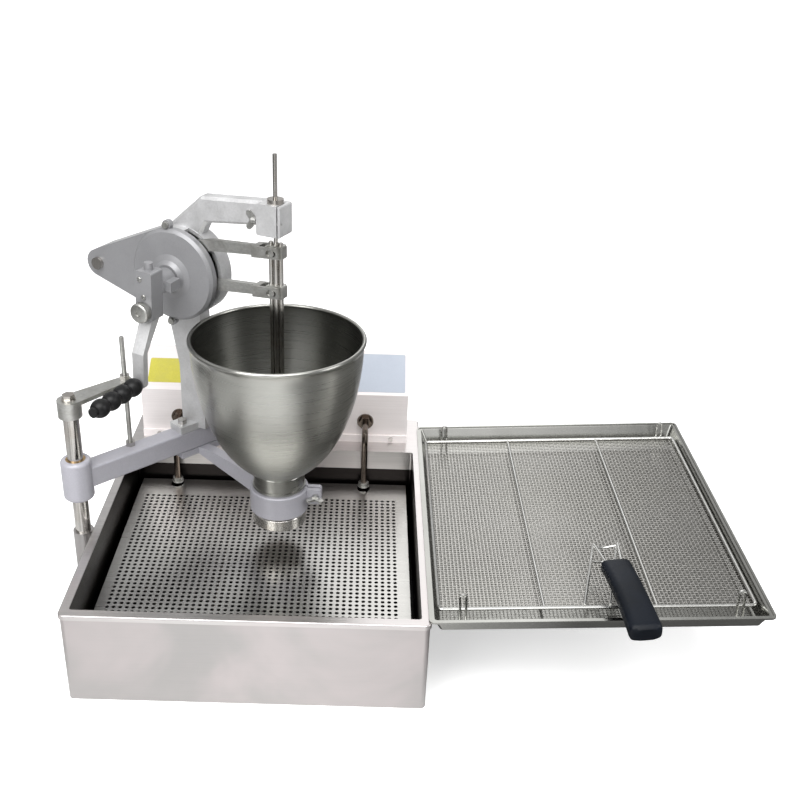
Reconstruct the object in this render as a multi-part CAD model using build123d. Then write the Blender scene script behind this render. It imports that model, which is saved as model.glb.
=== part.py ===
from build123d import *
import math
import os

# Counter-top doughnut machine: a shallow electric fryer with a swinging hand-cranked
# batter depositor over it and a draining tray with a lift-out screen at its side.
# Millimetres, +Z up, origin in the middle of the fryer's base, front towards -Y.

# Fryer case and oil tank
fryer_width = 477.0
fryer_depth = 558.0
rim_height = 138.4
sheet = 1.6
lip_drop = 7.0
corner_radius = 9.0
rim_ledge = 12.5
tank_width = fryer_width - 2 * rim_ledge
tank_front = -265.3
tank_rear = 163.5
tank_floor = 14.0
tank_corner = 4.0
rim_bend = 2.0
seat_gap = 0.3

# Perforated plate over the heating element
plate_height = 80.0
plate_sheet = 1.5
plate_side_gap = 9.5
plate_width = tank_width - 2 * plate_side_gap
plate_front = -258.0
plate_rear = 156.0
hole_radius = 3.4
hole_columns = 11
hole_rows = 8
hole_step = 36.0
notch_radius = 10.0
notch_depth = 24.0

# Heating element and control box
element_radius = 5.0
element_left = -fryer_width / 2 + 79.7
element_right = fryer_width / 2 - 91.5
element_exit_height = 176.0
element_drop = 150.0
element_level = 56.0
element_runs = 4
element_front = -215.0
element_back = 112.0
box_left = -fryer_width / 2 + 18.5
box_right = fryer_width / 2 - 22.5
box_front = 198.0
box_rear = 275.5
box_front_top = 224.0
box_rear_top = 269.0
box_lip_height = 12.6
box_lip_depth = 3.0

# Post with its socket and the height link
post_clear = 19.8
post_x = -fryer_width / 2 - post_clear
post_y = -62.0
post_radius = 11.0
post_bottom = 42.0
socket_radius = 14.5
socket_bottom = 36.0
socket_top = 124.0
link_level = 329.0
link_thickness = 6.0
link_boss_radius = 16.5
link_end_radius = 9.5
link_boss_depth = 19.0
run_fit = 0.05

# Swinging arm
arm_turn = 43.24
arm_reach = 218.0
arm_level = 211.4
arm_width = 29.0
arm_height = 32.0
sleeve_radius = 21.5
sleeve_bottom = 180.0
sleeve_top = 242.0
bush_radius = 14.0
rod_along = 92.5
rod_aside = 8.0
height_rod_radius = 3.5
height_rod_bottom = 184.0
height_rod_top = 400.0
nut_across = 13.0
nut_height = 6.5

# Depositor head, drawn in its own turned frame with the hopper axis as its zero
head_ahead = 121.49
head_behind = -92.04
head_x = post_x + arm_reach * math.cos(math.radians(arm_turn)) + head_ahead
head_y = post_y + arm_reach * math.sin(math.radians(arm_turn)) + head_behind
head_turn = 25.0
hopper_rim_radius = 120.6
hopper_rim_level = 409.4
hopper_drop = 218.7
hopper_wall = 1.5
hopper_bead = 3.0
hopper_bands = 9
neck_radius = 37.0
neck_bottom = 134.0
nozzle_radius = 39.5
nozzle_bottom = 116.0
nozzle_bore = 24.0
collar_radius = 43.0
collar_bottom = 137.0
collar_top = 174.0

# Cam housing, levers and guide
cam_x = -157.0
cam_level = 478.0
housing_radius = 66.0
housing_wall = 5.0
housing_rear = 32.0
cover_front = -26.0
gap_half = 6.0
tail_x = -286.0
tail_level = 473.0
tail_radius = 20.0
pin_radius = 5.0
shaft_radius = 9.0
shaft_front = -78.0
shaft_rear = 38.0
lever_half = 4.0
roller_arm = 34.0
roller_radius = 6.0
roller_gap = 0.35
cam_near = 5.0
cam_far = 13.0
cam_radius = 53.0
cutter_stroke = 12.0
piston_stroke = 18.0
upper_level = 534.5
lower_level = 478.8
crosshead_half = 13.0
crosshead_thick = 6.5
crosshead_height = 9.0
trunnion_radius = 4.0
fork_half = 11.5
cutter_rod_radius = 4.0
guide_rod_radius = 2.9
guide_rod_top = 664.0
side_rod_radius = 3.0
side_rod_offset = 7.6
guide_block_bottom = 558.0
guide_block_top = 600.0
guide_bush_radius = 8.0

# Crank
crank_aside = -7.0
crank_down = -133.8
bar_front = -101.0
bar_rear = -91.0
grip_radius = 13.0
grip_waist = 9.5
grip_inner = -102.5
grip_outer = -196.0
grip_lobes = 4
spindle_radius = 4.0
knob_radius = 14.0
knob_drop = 30.0
hub_front = -84.0
hub_rear = -58.0
hub_drop = 44.0
bar_knee = 88.0

# Draining tray and screen, drawn in the tray's own tilted frame
tray_lap = 3.6
tray_x = fryer_width / 2 - tray_lap
tray_front = -274.8
tray_length = 438.0
tray_depth = 523.0
tray_drop = 20.0
tray_sheet = 1.2
tray_flare = 8.0
tray_rim = 7.0
tray_corner = 8.0
tray_tilt = 3.0
bracket_front = -60.0
bracket_back = 100.0
bracket_reach = 235.0
screen_offset = 14.0
screen_front = -236.8
screen_width = 410.0
screen_depth = 446.0
screen_rod = 2.5
screen_corner = 6.0
divider_near = 150.7
divider_far = 296.5
screen_lift = 13.0
net_columns = 8
net_rows = 18
loop_near = 45.0
loop_far = 402.0
loop_half = 4.0
loop_wire = 1.6
handle_x = 243.5
handle_rear = -146.0
handle_grip_rear = -190.0
handle_grip_front = -328.0
handle_grip_width = 42.0
handle_grip_thick = 24.0
handle_level = 29.0
handle_turn = 5.4
handle_wire = 2.2
handle_spread = 16.5
handle_inset = 10.0
handle_feet = 219.0

head_place = Pos(head_x, head_y, 0) * Rot(0, 0, -head_turn)
arm_place = Pos(post_x, post_y, 0) * Rot(0, 0, arm_turn)
tray_place = Pos(tray_x, 0, rim_height) * Rot(0, -tray_tilt, 0)
panel_slope = math.degrees(math.atan2(box_rear_top - box_front_top, box_rear - box_front))
arm_top = arm_level + arm_height / 2
arm_bottom = arm_level - arm_height / 2
deck_under = rim_height - sheet


def block(x0, x1, y0, y1, z0, z1):
    """Box between two opposite corners."""
    middle = Pos((x0 + x1) / 2, (y0 + y1) / 2, (z0 + z1) / 2)
    return middle * Box(x1 - x0, y1 - y0, z1 - z0)


def rod_z(x, y, radius, z0, z1):
    """Upright cylinder."""
    return Pos(x, y, (z0 + z1) / 2) * Cylinder(radius, z1 - z0)


def rod_y(x, z, radius, y0, y1):
    """Cylinder along Y."""
    return Pos(x, (y0 + y1) / 2, z) * Rot(90, 0, 0) * Cylinder(radius, y1 - y0)


def rod_x(y, z, radius, x0, x1):
    """Cylinder along X."""
    return Pos((x0 + x1) / 2, y, z) * Rot(0, 90, 0) * Cylinder(radius, x1 - x0)


def strut(start, end, radius):
    """Straight round wire between two points."""
    a = Vector(start)
    b = Vector(end)
    return extrude(Plane(a, z_dir=b - a) * Circle(radius), (b - a).length)


def bent_wire(points, radii, radius, flats=0):
    """Wire of straight runs with a circular bend at each inner point, round or with a number of flats."""
    section = RegularPolygon(radius, flats) if flats else Circle(radius)
    spots = [Vector(*point) for point in points]
    start = spots[0]
    wire = None
    for k, bend in enumerate(radii):
        corner = spots[k + 1]
        before = (spots[k] - corner).normalized()
        after = (spots[k + 2] - corner).normalized()
        angle = math.radians(before.get_angle(after))
        tangent = bend / math.tan(angle / 2)
        near = corner + before * tangent
        middle = corner + (before + after).normalized() * (bend / math.sin(angle / 2))
        square = after.cross(before)
        axis = Axis(middle, square)
        elbow = revolve(Plane(near, x_dir=square, z_dir=before) * section, axis, 180 - math.degrees(angle))
        run = extrude(Plane(start, x_dir=square, z_dir=-before) * section, (near - start).length)
        wire = run + elbow if wire is None else wire + run + elbow
        start = corner + after * tangent
    last = spots[-1] - start
    return wire + extrude(Plane(start, x_dir=square, z_dir=last) * section, last.length)


def hex_z(x, y, across, z0, z1):
    """Upright hexagon, measured across its flats."""
    corner = across / math.sqrt(3)
    return Pos(x, y, z0) * extrude(RegularPolygon(corner, 6), z1 - z0)


def upright(face, y0, y1):
    """Face drawn in X and Z, made into a slab from y0 to y1."""
    return Pos(0, y1, 0) * extrude(Plane.XZ * face, y1 - y0)


def polygon(*points):
    return make_face(Polyline(*points, close=True))


def strap(ax, az, ra, bx, bz, rb):
    """Outline of a link with round ends of two sizes."""
    reach = math.hypot(bx - ax, bz - az)
    along = math.atan2(bz - az, bx - ax)
    side = math.acos((ra - rb) / reach)
    flank = []
    for turn in (side, -side):
        c = math.cos(along + turn)
        s = math.sin(along + turn)
        flank.append(((ax + ra * c, az + ra * s), (bx + rb * c, bz + rb * s)))
    web = polygon(flank[0][0], flank[0][1], flank[1][1], flank[1][0])
    return web + Pos(ax, az) * Circle(ra) + Pos(bx, bz) * Circle(rb)


def turned(x, z, *points):
    """Solid of revolution about a Y axis through x and z, from radius and y pairs."""
    return Pos(x, 0, z) * revolve(polygon(*points), Axis.Y)


def save(name, shape):
    export_step(shape, f"parts/{name}.step")


def join(pieces, place=Location()):
    """Several separate pieces kept in one node, each moved to its place first."""
    solids = []
    for piece in pieces:
        solids.extend((place * piece).solids())
    return Compound(children=solids)


def rounded(width, depth, radius, z0, z1, y=0.0):
    return Pos(0, y, z0) * extrude(RectangleRounded(width, depth, radius), z1 - z0)


def make_fryer():
    inset = 2 * (sheet + seat_gap)
    wide = fryer_width - inset
    deep = fryer_depth - inset
    case = rounded(wide, deep, corner_radius - 2, 0, deck_under)
    case -= rounded(wide - 2 * sheet, deep - 2 * sheet, corner_radius - 2 - sheet, sheet, deck_under)
    save("fryer_case", case)

    tank_long = tank_rear - tank_front
    tank_mid = (tank_rear + tank_front) / 2
    tank = rounded(fryer_width, fryer_depth, corner_radius, rim_height - lip_drop, rim_height)
    tank = fillet(tank.edges().group_by(Axis.Z)[-1], rim_bend)
    tank -= rounded(
        fryer_width - 2 * sheet, fryer_depth - 2 * sheet, corner_radius - sheet,
        rim_height - lip_drop, deck_under,
    )
    tank += rounded(
        tank_width + 2 * sheet, tank_long + 2 * sheet, tank_corner + sheet,
        tank_floor, deck_under, tank_mid,
    )
    tank -= rounded(tank_width, tank_long, tank_corner, tank_floor + sheet, rim_height, tank_mid)
    save("oil_tank", tank)


def make_plate():
    low = plate_height - plate_sheet
    half = plate_width / 2
    plate = block(-half, half, plate_front, plate_rear, low, plate_height)
    notches = Sketch()
    for x in (element_left, element_right):
        notches += Pos(x, plate_rear - notch_depth + notch_radius) * Circle(notch_radius)
        notches += Pos(x, plate_rear) * Rectangle(2 * notch_radius, 2 * (notch_depth - notch_radius))
    holes = Sketch()
    middle = (plate_front + plate_rear - notch_depth) / 2
    holes += Pos(0, middle) * GridLocations(hole_step, hole_step, hole_columns, hole_rows) * RegularPolygon(
        hole_radius, 6
    )
    plate -= Pos(0, 0, low) * extrude(notches + holes, plate_sheet)
    for x in (-half + 30, half - 30):
        for y in (plate_front, plate_rear - plate_sheet):
            plate += block(x - 18, x + 18, y, y + plate_sheet, tank_floor + sheet, low)
    save("perforated_plate", plate)


def make_element():
    step = (element_right - element_left) / (element_runs - 1)
    points = [
        (element_right, box_front + 12, element_exit_height),
        (element_right, element_drop, element_exit_height),
        (element_right, element_drop, element_level),
    ]
    radii = [16, 16]
    turn = step * 0.45
    for run in range(element_runs):
        x = element_right - run * step
        ends = [element_front, element_back] if run % 2 else [element_back, element_front]
        if run > 0:
            points.append((x, ends[0], element_level))
            radii.append(turn)
        if run < element_runs - 1:
            points.append((x, ends[1], element_level))
            radii.append(turn)
    points += [
        (element_left, element_drop, element_level),
        (element_left, element_drop, element_exit_height),
        (element_left, box_front + 12, element_exit_height),
    ]
    radii += [16, 16]
    save("heating_element", bent_wire(points, radii, element_radius, 12))

    glands = []
    for x in (element_left, element_right):
        nut = Pos(x, box_front, element_exit_height) * Rot(90, 0, 0) * extrude(RegularPolygon(11, 6), 9)
        nut += rod_y(x, element_exit_height, 13.5, box_front - 2, box_front)
        nut -= rod_y(x, element_exit_height, element_radius + run_fit, box_front - 10, box_front)
        glands.append(nut)
    save("element_glands", join(glands))


def panel_at(x, along, lift=0.0):
    """Place on the sloped panel, with its own Z square to the panel."""
    rise = Rot(panel_slope, 0, 0)
    return Pos(x, box_front, box_front_top) * rise * Pos(0, along, lift)


def make_controls():
    profile = polygon(
        (box_front, rim_height), (box_front, box_front_top),
        (box_rear, box_rear_top), (box_rear, rim_height),
    )
    inner = polygon(
        (box_front + sheet, rim_height), (box_front + sheet, box_front_top - 0.7 * sheet),
        (box_rear - sheet, box_rear_top - 1.7 * sheet), (box_rear - sheet, rim_height),
    )
    wide = box_right - box_left
    shell = Pos(box_left, 0, 0) * extrude(Plane.YZ * profile, wide)
    shell -= Pos(box_left + sheet, 0, 0) * extrude(Plane.YZ * inner, wide - 2 * sheet)
    lip_front = box_front - box_lip_depth
    shell += block(box_left, box_right, lip_front, box_front + sheet, rim_height, rim_height + box_lip_height)
    for x in (element_left, element_right):
        shell -= rod_y(x, element_exit_height, element_radius + 0.3, box_front - 5, box_front + 5)

    along = math.hypot(box_rear - box_front, box_rear_top - box_front_top) / 2
    knob_x = 60.0
    switch_x = -75.0
    lamps_x = (-30.0, 5.0)
    shell -= panel_at(knob_x, along) * Cylinder(3.4, 8)
    shell -= panel_at(switch_x, along) * Box(24.4, 24.4, 8)
    for x in lamps_x:
        shell -= panel_at(x, along) * Cylinder(5.2, 8)
    save("control_box", shell)

    screws = []
    for part in (0.06, 0.35, 0.65, 0.94):
        x = box_left + part * wide
        z = rim_height + box_lip_height / 2
        screws.append(rod_y(x, z, 3.6, lip_front - 2, lip_front))
    save("box_screws", join(screws))

    lamps = []
    for x in lamps_x:
        lamp = Pos(0, 0, 1.2) * Cylinder(7.5, 2.4) + Pos(0, 0, 4) * Cylinder(5, 4)
        lamp += Pos(0, 0, -7) * Cylinder(5, 14)
        lamps.append(panel_at(x, along) * lamp)
    save("indicator_lamps", join(lamps))

    frame = Pos(0, 0, 1.2) * Box(31, 31, 2.4) + Pos(0, 0, -6) * Box(24, 24, 12)
    frame -= Pos(0, 0, -4) * Box(19, 19, 20)
    for side in (-1, 1):
        frame -= rod_x(0, -3, 1.6, min(9 * side, 11.4 * side), max(9 * side, 11.4 * side))
    save("switch_frame", panel_at(switch_x, along) * frame)

    rocker = rod_x(0, -3, 9, -9, 9)
    for side in (-1, 1):
        rocker -= Pos(0, 0, -3) * Rot(12 * side, 0, 0) * block(-10, 10, -12, 12, 6.2, 14)
    rocker += rod_x(0, -3, 1.5, -11, 11)
    save("power_switch", panel_at(switch_x, along) * rocker)

    dial = Pos(0, 0, 2.5) * Cylinder(19, 4) + Pos(0, 0, 11) * Cylinder(13.5, 14)
    dial += Pos(0, 8, 11) * Box(4, 14, 13)
    dial = dial + Pos(0, 0, -4) * Cylinder(3, 9)
    save("thermostat_knob", panel_at(knob_x, along) * dial)
    body = Pos(0, 0, -sheet - 14) * Box(44, 36, 26) - Pos(0, 0, -6) * Cylinder(3.1, 8)
    save("thermostat_body", panel_at(knob_x, along) * body)


def make_post():
    wall = -fryer_width / 2 + sheet + seat_gap
    socket = rod_z(post_x, post_y, socket_radius, socket_bottom, socket_top)
    socket += block(post_x, wall - 2, post_y - 10, post_y + 10, socket_bottom, socket_top - 6)
    socket += block(wall - 4, wall, post_y - 42, post_y + 42, socket_bottom, socket_top - 6)
    socket -= rod_z(post_x, post_y, post_radius + run_fit, post_bottom, socket_top)
    bolts = []
    for y in (post_y - 30, post_y + 30):
        for z in (socket_bottom + 14, socket_top - 20):
            socket -= rod_x(y, z, 3.05, wall - 4, wall)
            head = rod_x(y, z, 3, wall - 4, wall)
            head += Pos(wall - 4, y, z) * Rot(0, -90, 0) * extrude(RegularPolygon(6.2, 6), 4)
            bolts.append(head)
    save("post_socket", socket)
    save("socket_bolts", join(bolts))

    post = rod_z(post_x, post_y, post_radius, post_bottom, link_level)
    post -= rod_z(post_x, post_y, 5.02, link_level - 30, link_level)
    save("post", post)
    top = link_level + link_thickness
    bolt = rod_z(post_x, post_y, 5, link_level - 30, top + 2)
    bolt += rod_z(post_x, post_y, 10, top, top + 2)
    bolt += hex_z(post_x, post_y, 15, top + 2, top + 8)
    save("post_bolt", bolt)


def make_link():
    top = link_level + link_thickness
    plate = Pos(0, 0, link_level) * extrude(
        strap(0, 0, link_boss_radius, rod_along, rod_aside, link_end_radius), link_thickness
    )
    plate += rod_z(0, 0, link_boss_radius, link_level - link_boss_depth, link_level)
    plate -= rod_z(0, 0, post_radius + 0.02, link_level - link_boss_depth, link_level)
    plate -= rod_z(0, 0, 5.02, link_level, top)
    plate -= rod_z(rod_along, rod_aside, height_rod_radius + run_fit, link_level, top)
    save("link_plate", arm_place * plate)
    nuts = []
    for z in (top, link_level - nut_height):
        nut = hex_z(rod_along, rod_aside, nut_across, z, z + nut_height)
        nut -= rod_z(rod_along, rod_aside, height_rod_radius + run_fit, z, z + nut_height)
        nuts.append(nut)
    save("height_nuts", join(nuts, arm_place))


def make_arm():
    sleeve = rod_z(0, 0, sleeve_radius, sleeve_bottom, sleeve_top)
    sleeve = fillet(sleeve.edges().filter_by(GeomType.CIRCLE), 5)
    bar = block(0, arm_reach + 22, -arm_width / 2, arm_width / 2, arm_bottom, arm_top)
    bar = chamfer(bar.faces().sort_by(Axis.X)[-1].edges().filter_by(Axis.Z), 5)
    bar = fillet(bar.edges().filter_by(Axis.X), 3)
    arm = sleeve + bar
    arm -= rod_z(0, 0, bush_radius + 0.02, sleeve_bottom, sleeve_top)
    arm -= rod_z(rod_along, rod_aside, height_rod_radius + 0.05, arm_bottom, arm_top)
    for x in (arm_reach - 40, arm_reach + 13):
        arm -= rod_z(x, 0, 4.05, arm_bottom, arm_top)
    save("swing_arm", arm_place * arm)
    bush = rod_z(0, 0, bush_radius, sleeve_bottom, sleeve_top)
    bush -= rod_z(0, 0, post_radius + run_fit, sleeve_bottom, sleeve_top)
    save("arm_bush", arm_place * bush)
    save(
        "height_rod",
        arm_place * rod_z(rod_along, rod_aside, height_rod_radius, height_rod_bottom, height_rod_top),
    )
    nuts = []
    for z in (arm_top, arm_bottom - nut_height):
        nut = hex_z(rod_along, rod_aside, nut_across, z, z + nut_height)
        nut -= rod_z(rod_along, rod_aside, height_rod_radius + 0.03, z, z + nut_height)
        nuts.append(nut)
    save("rod_nuts", join(nuts, arm_place))


def open_side(y0, y1, reach):
    """Wedge on the hopper side of the cam housing where the levers come out."""
    span = math.radians(76)
    tip = (cam_x + reach * math.cos(span), cam_level + reach * math.sin(span))
    low = (tip[0], 2 * cam_level - tip[1])
    return upright(
        polygon((cam_x, cam_level), tip, (cam_x + reach, tip[1]), (cam_x + reach, low[1]), low), y0, y1
    )


def housing_outline(inset):
    return strap(
        cam_x, cam_level, housing_radius - inset, tail_x, tail_level, tail_radius - inset
    )


def make_head():
    casting = upright(housing_outline(0), -gap_half, housing_rear)
    leg = polygon(
        (cam_x - 34, cam_level - 40), (cam_x + 26, cam_level - 40), (-131, 330),
        (-131, arm_top + 2), (-171, arm_top + 2), (-171, 330),
    )
    casting += upright(leg, gap_half + 1, housing_rear)
    neck = polygon(
        (cam_x - 33, cam_level + 52), (cam_x + 30, cam_level + 50), (-114, 553), (-18, 564), (-18, 597), (-122, 589),
    )
    neck = upright(neck, gap_half + 1, housing_rear - 6)
    casting += chamfer(neck.faces().sort_by(Axis.Y)[0].edges(), 4)
    head_block = block(-21, 15, -15, 17, guide_block_bottom, guide_block_top)
    head_block = fillet(head_block.edges().filter_by(Axis.Y), 3)
    casting += head_block
    casting -= upright(housing_outline(housing_wall), -gap_half, housing_rear - 6)
    casting -= open_side(-gap_half, gap_half, housing_radius + 8)
    casting += rod_y(cam_x, cam_level, 17, housing_rear - 10, housing_rear + 8)
    casting -= rod_y(cam_x, cam_level, shaft_radius + run_fit, housing_rear - 10, shaft_rear + 0.5)
    casting -= rod_y(tail_x, tail_level, pin_radius + 0.02, housing_rear - 7, housing_rear)
    casting -= rod_z(0, 0, guide_bush_radius + 0.02, guide_block_bottom, guide_block_top)
    casting -= block(9.5, 11.5, -15, 8, guide_block_bottom, guide_block_top)
    casting -= rod_x(-11.5, 576, 2.1, -21, 15)
    foot = block(arm_reach - 52, arm_reach + 22, -arm_width / 2, arm_width / 2, arm_top, arm_top + 11)
    for x in (arm_reach - 40, arm_reach + 13):
        foot -= rod_z(x, 0, 4.05, arm_top, arm_top + 11)
    foot = arm_place * foot
    save("head_casting", head_place * casting + foot)

    cover = turned(
        cam_x, cam_level,
        (0, -gap_half), (housing_radius, -gap_half), (housing_radius, -gap_half - 9),
        (housing_radius - 4, -gap_half - 13), (32, cover_front + 4), (24, cover_front + 1),
        (19, cover_front - 4), (0, cover_front - 4),
    )
    cover += upright(housing_outline(0), -gap_half - 9, -gap_half)
    cover -= turned(
        cam_x, cam_level,
        (0, -gap_half), (housing_radius - housing_wall, -gap_half),
        (housing_radius - housing_wall, -gap_half - 8.5), (32, cover_front + 8.5), (0, cover_front + 8.5),
    )
    cover -= rod_y(cam_x, cam_level, shaft_radius + run_fit, cover_front - 4, -gap_half)
    cover -= rod_y(tail_x, tail_level, pin_radius + 0.02, -gap_half - 9, -gap_half)
    screws = []
    for turn in (96, 264):
        x = cam_x + (housing_radius + 5) * math.cos(math.radians(turn))
        z = cam_level + (housing_radius + 5) * math.sin(math.radians(turn))
        cover += rod_y(x, z, 6.5, -gap_half - 8, -gap_half)
        screws.append(rod_y(x, z, 4.6, -gap_half - 12, -gap_half - 8))
    save("cam_cover", head_place * cover)
    save("cover_screws", join(screws, head_place))

    front = -gap_half - 9
    pin = rod_y(tail_x, tail_level, pin_radius, front, housing_rear)
    pin += rod_y(tail_x, tail_level, 9, front - 5, front)
    pin += rod_y(tail_x, tail_level, 8, housing_rear, housing_rear + 6)
    save("lever_pin", head_place * pin)

    bolts = []
    top = arm_top + 11
    low = arm_bottom - 10
    for x in (arm_reach - 40, arm_reach + 13):
        bolt = rod_z(x, 0, 4, low, top)
        bolt += hex_z(x, 0, nut_across, top, top + 6)
        bolt += hex_z(x, 0, nut_across, low - 6, low)
        bolts.append(bolt)
    save("head_bolts", join(bolts, arm_place))

    bush = rod_z(0, 0, guide_bush_radius, guide_block_bottom, guide_block_top)
    bush += rod_z(0, 0, 11, guide_block_top, guide_block_top + 6)
    bush -= rod_z(0, 0, guide_rod_radius + run_fit, guide_block_bottom, guide_block_top + 6)
    save("guide_bush", head_place * bush)
    save("guide_wing_screw", head_place * Pos(-21, -11.5, 576) * Rot(0, -90, 0) * wing_screw(2, 36))


def wing_screw(radius, shank):
    """Wing screw with its head above Z zero and its shank below."""
    wings = strap(-9, 12, 4, 0, 5, 4.5) + strap(0, 5, 4.5, 9, 12, 4)
    screw = upright(wings, -1.5, 1.5)
    screw += Pos(0, 0, 4) * Cylinder(5, 7)
    screw += Pos(0, 0, 0.6 - shank / 2) * Cylinder(radius, shank)
    return screw


def make_hopper():
    def wall_points(inset):
        base = neck_radius - inset
        wide = hopper_rim_radius - inset
        points = []
        turns = hopper_bands
        start = math.acos(base / wide)
        for k in range(turns + 1):
            angle = start * (1 - k / turns)
            points.append((wide * math.cos(angle), hopper_rim_level - hopper_drop * math.sin(angle)))
        return points

    outer = wall_points(0)
    inner = wall_points(hopper_wall)
    foot = [(neck_radius - hopper_wall, neck_bottom), (neck_radius, neck_bottom)]
    hopper = revolve(Plane.XZ * polygon(*foot, *outer, *reversed(inner)), Axis.Z)
    bead = Pos(hopper_rim_radius, hopper_rim_level) * RegularPolygon(hopper_bead, 8)
    hopper += revolve(Plane.XZ * bead, Axis.Z)
    save("hopper", head_place * hopper)

    nozzle = rod_z(0, 0, nozzle_radius, nozzle_bottom, neck_bottom)
    nozzle = chamfer(nozzle.edges().filter_by(GeomType.CIRCLE), 1.2)
    nozzle += rod_z(0, 0, neck_radius - hopper_wall - 0.1, neck_bottom, collar_top)
    nozzle -= rod_z(0, 0, nozzle_bore, nozzle_bottom, collar_top)
    nozzle -= Pos(0, 0, collar_top - 4) * Cone(
        nozzle_bore, nozzle_bore + 8, 8, align=(Align.CENTER, Align.CENTER, Align.MIN)
    )
    save("nozzle_cylinder", head_place * nozzle)

    ring = rod_z(0, 0, collar_radius, collar_bottom, collar_top)
    ring = chamfer(ring.edges().filter_by(GeomType.CIRCLE), 1.5)
    ears = block(collar_radius - 4, collar_radius + 20, -9, 9, collar_bottom + 12, collar_top - 2)
    ears = fillet(ears.edges().filter_by(Axis.Y), 4)
    slit = block(neck_radius - 2, collar_radius + 22, -1.5, 1.5, collar_bottom, collar_top)
    hole = rod_y(collar_radius + 12, collar_top - 12, 2.6, -9, 9)
    swing = Rot(0, 0, 22)
    web = polygon((-128, arm_bottom), (-146, arm_bottom), (-146, arm_bottom - 10), (-46, 141), (-30, 141), (-30, 168))
    clamp = ring + swing * ears + upright(web, 6, 22)
    clamp -= rod_z(0, 0, neck_radius + 0.03, collar_bottom, collar_top)
    clamp = clamp - swing * slit - swing * hole
    root = block(arm_reach - 52, arm_reach + 22, -arm_width / 2, arm_width / 2, arm_bottom - 10, arm_bottom)
    for x in (arm_reach - 40, arm_reach + 13):
        root -= rod_z(x, 0, 4.05, arm_bottom - 10, arm_bottom)
    save("collar_clamp", head_place * clamp + arm_place * root)
    screw_at = swing * Pos(collar_radius + 12, -9, collar_top - 12) * Rot(90, 0, 0)
    save("collar_wing_screw", head_place * screw_at * wing_screw(2.5, 18))


def lever_turn(stroke):
    return stroke / -tail_x


def cam_groove(side, stroke):
    """Closed groove that lowers its roller by an even amount through half a turn."""
    walls = []
    for offset in (roller_radius + roller_gap, -roller_radius - roller_gap):
        half = []
        for k in range(13):
            crank = math.pi * k / 12
            drop = lever_turn(stroke) * k / 12
            px = cam_x - tail_x
            pz = cam_level + side * roller_arm - tail_level
            rx = px * math.cos(drop) + pz * math.sin(drop) - (cam_x - tail_x)
            rz = pz * math.cos(drop) - px * math.sin(drop) - (cam_level - tail_level)
            far = math.hypot(rx, rz) + offset
            angle = math.atan2(rz, rx) + crank
            half.append((far * math.cos(angle), far * math.sin(angle)))
        mirror = [(-x, z) for x, z in reversed(half)]
        top = half[0][1]
        low = half[-1][1]
        half[0] = (0, top)
        half[-1] = (0, low)
        mirror[0] = (0, low)
        mirror[-1] = (0, top)
        walls.append(make_face(Spline(*half) + Spline(*mirror)))
    return Pos(cam_x, cam_level) * (walls[0] - walls[1])


def lever(side, level, knee):
    """Lever from the tail pin past the cam shaft to a fork at its crosshead."""
    roller_level = cam_level + side * roller_arm
    arm = strap(tail_x, tail_level, 12, cam_x, roller_level, 9)
    arm += strap(cam_x, roller_level, 9, knee[0], knee[1], 8)
    arm += strap(knee[0], knee[1], 8, -29, level + (knee[1] - level) * 29 / -knee[0], 7)
    blade = upright(arm, -lever_half, lever_half)
    lap = (-0.2, lever_half) if side > 0 else (-lever_half, 0.2)
    blade -= upright(Pos(tail_x + 30, tail_level) * Rectangle(100, 60), *lap)
    slope = math.degrees(math.atan2(level - knee[1], -knee[0]))
    inner = crosshead_thick + 0.5
    fork = block(-32, 9, -fork_half, fork_half, -7.5, 7.5)
    fork -= block(-22, 10, -inner, inner, -8, 8)
    slot = Pos(-2, 0) * Rectangle(6, 2 * trunnion_radius + 2 * roller_gap)
    for x in (-5, 1):
        slot += Pos(x, 0) * Circle(trunnion_radius + roller_gap)
    fork -= upright(slot, -fork_half, fork_half)
    blade += Pos(0, 0, level) * Rot(0, -slope, 0) * fork
    blade -= rod_y(tail_x, tail_level, pin_radius + run_fit, -lever_half, lever_half)
    stud = (-lever_half - 1, -lever_half + 3) if side > 0 else (lever_half - 3, lever_half + 1)
    blade -= rod_y(cam_x, roller_level, 3.02, *stud)
    roller = (-cam_near - 4.5, -lever_half) if side > 0 else (lever_half, cam_near + 4.5)
    wheel = rod_y(cam_x, roller_level, roller_radius, *roller)
    pin = (-lever_half, -lever_half + 3) if side > 0 else (lever_half - 3, lever_half)
    wheel += rod_y(cam_x, roller_level, 3, *pin)
    return blade, wheel


def crosshead(level, centre, sides):
    half = crosshead_height
    body = upright(RectangleRounded(2 * crosshead_half, 2 * half, 3), -crosshead_thick, crosshead_thick)
    body = Pos(0, 0, level) * body
    body += rod_y(0, level, trunnion_radius, -fork_half - 2, fork_half + 2)
    body -= rod_z(0, 0, centre, level - half, level + half)
    for x in (-side_rod_offset, side_rod_offset):
        body -= rod_z(x, 0, sides, level - half, level + half)
    return body


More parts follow.
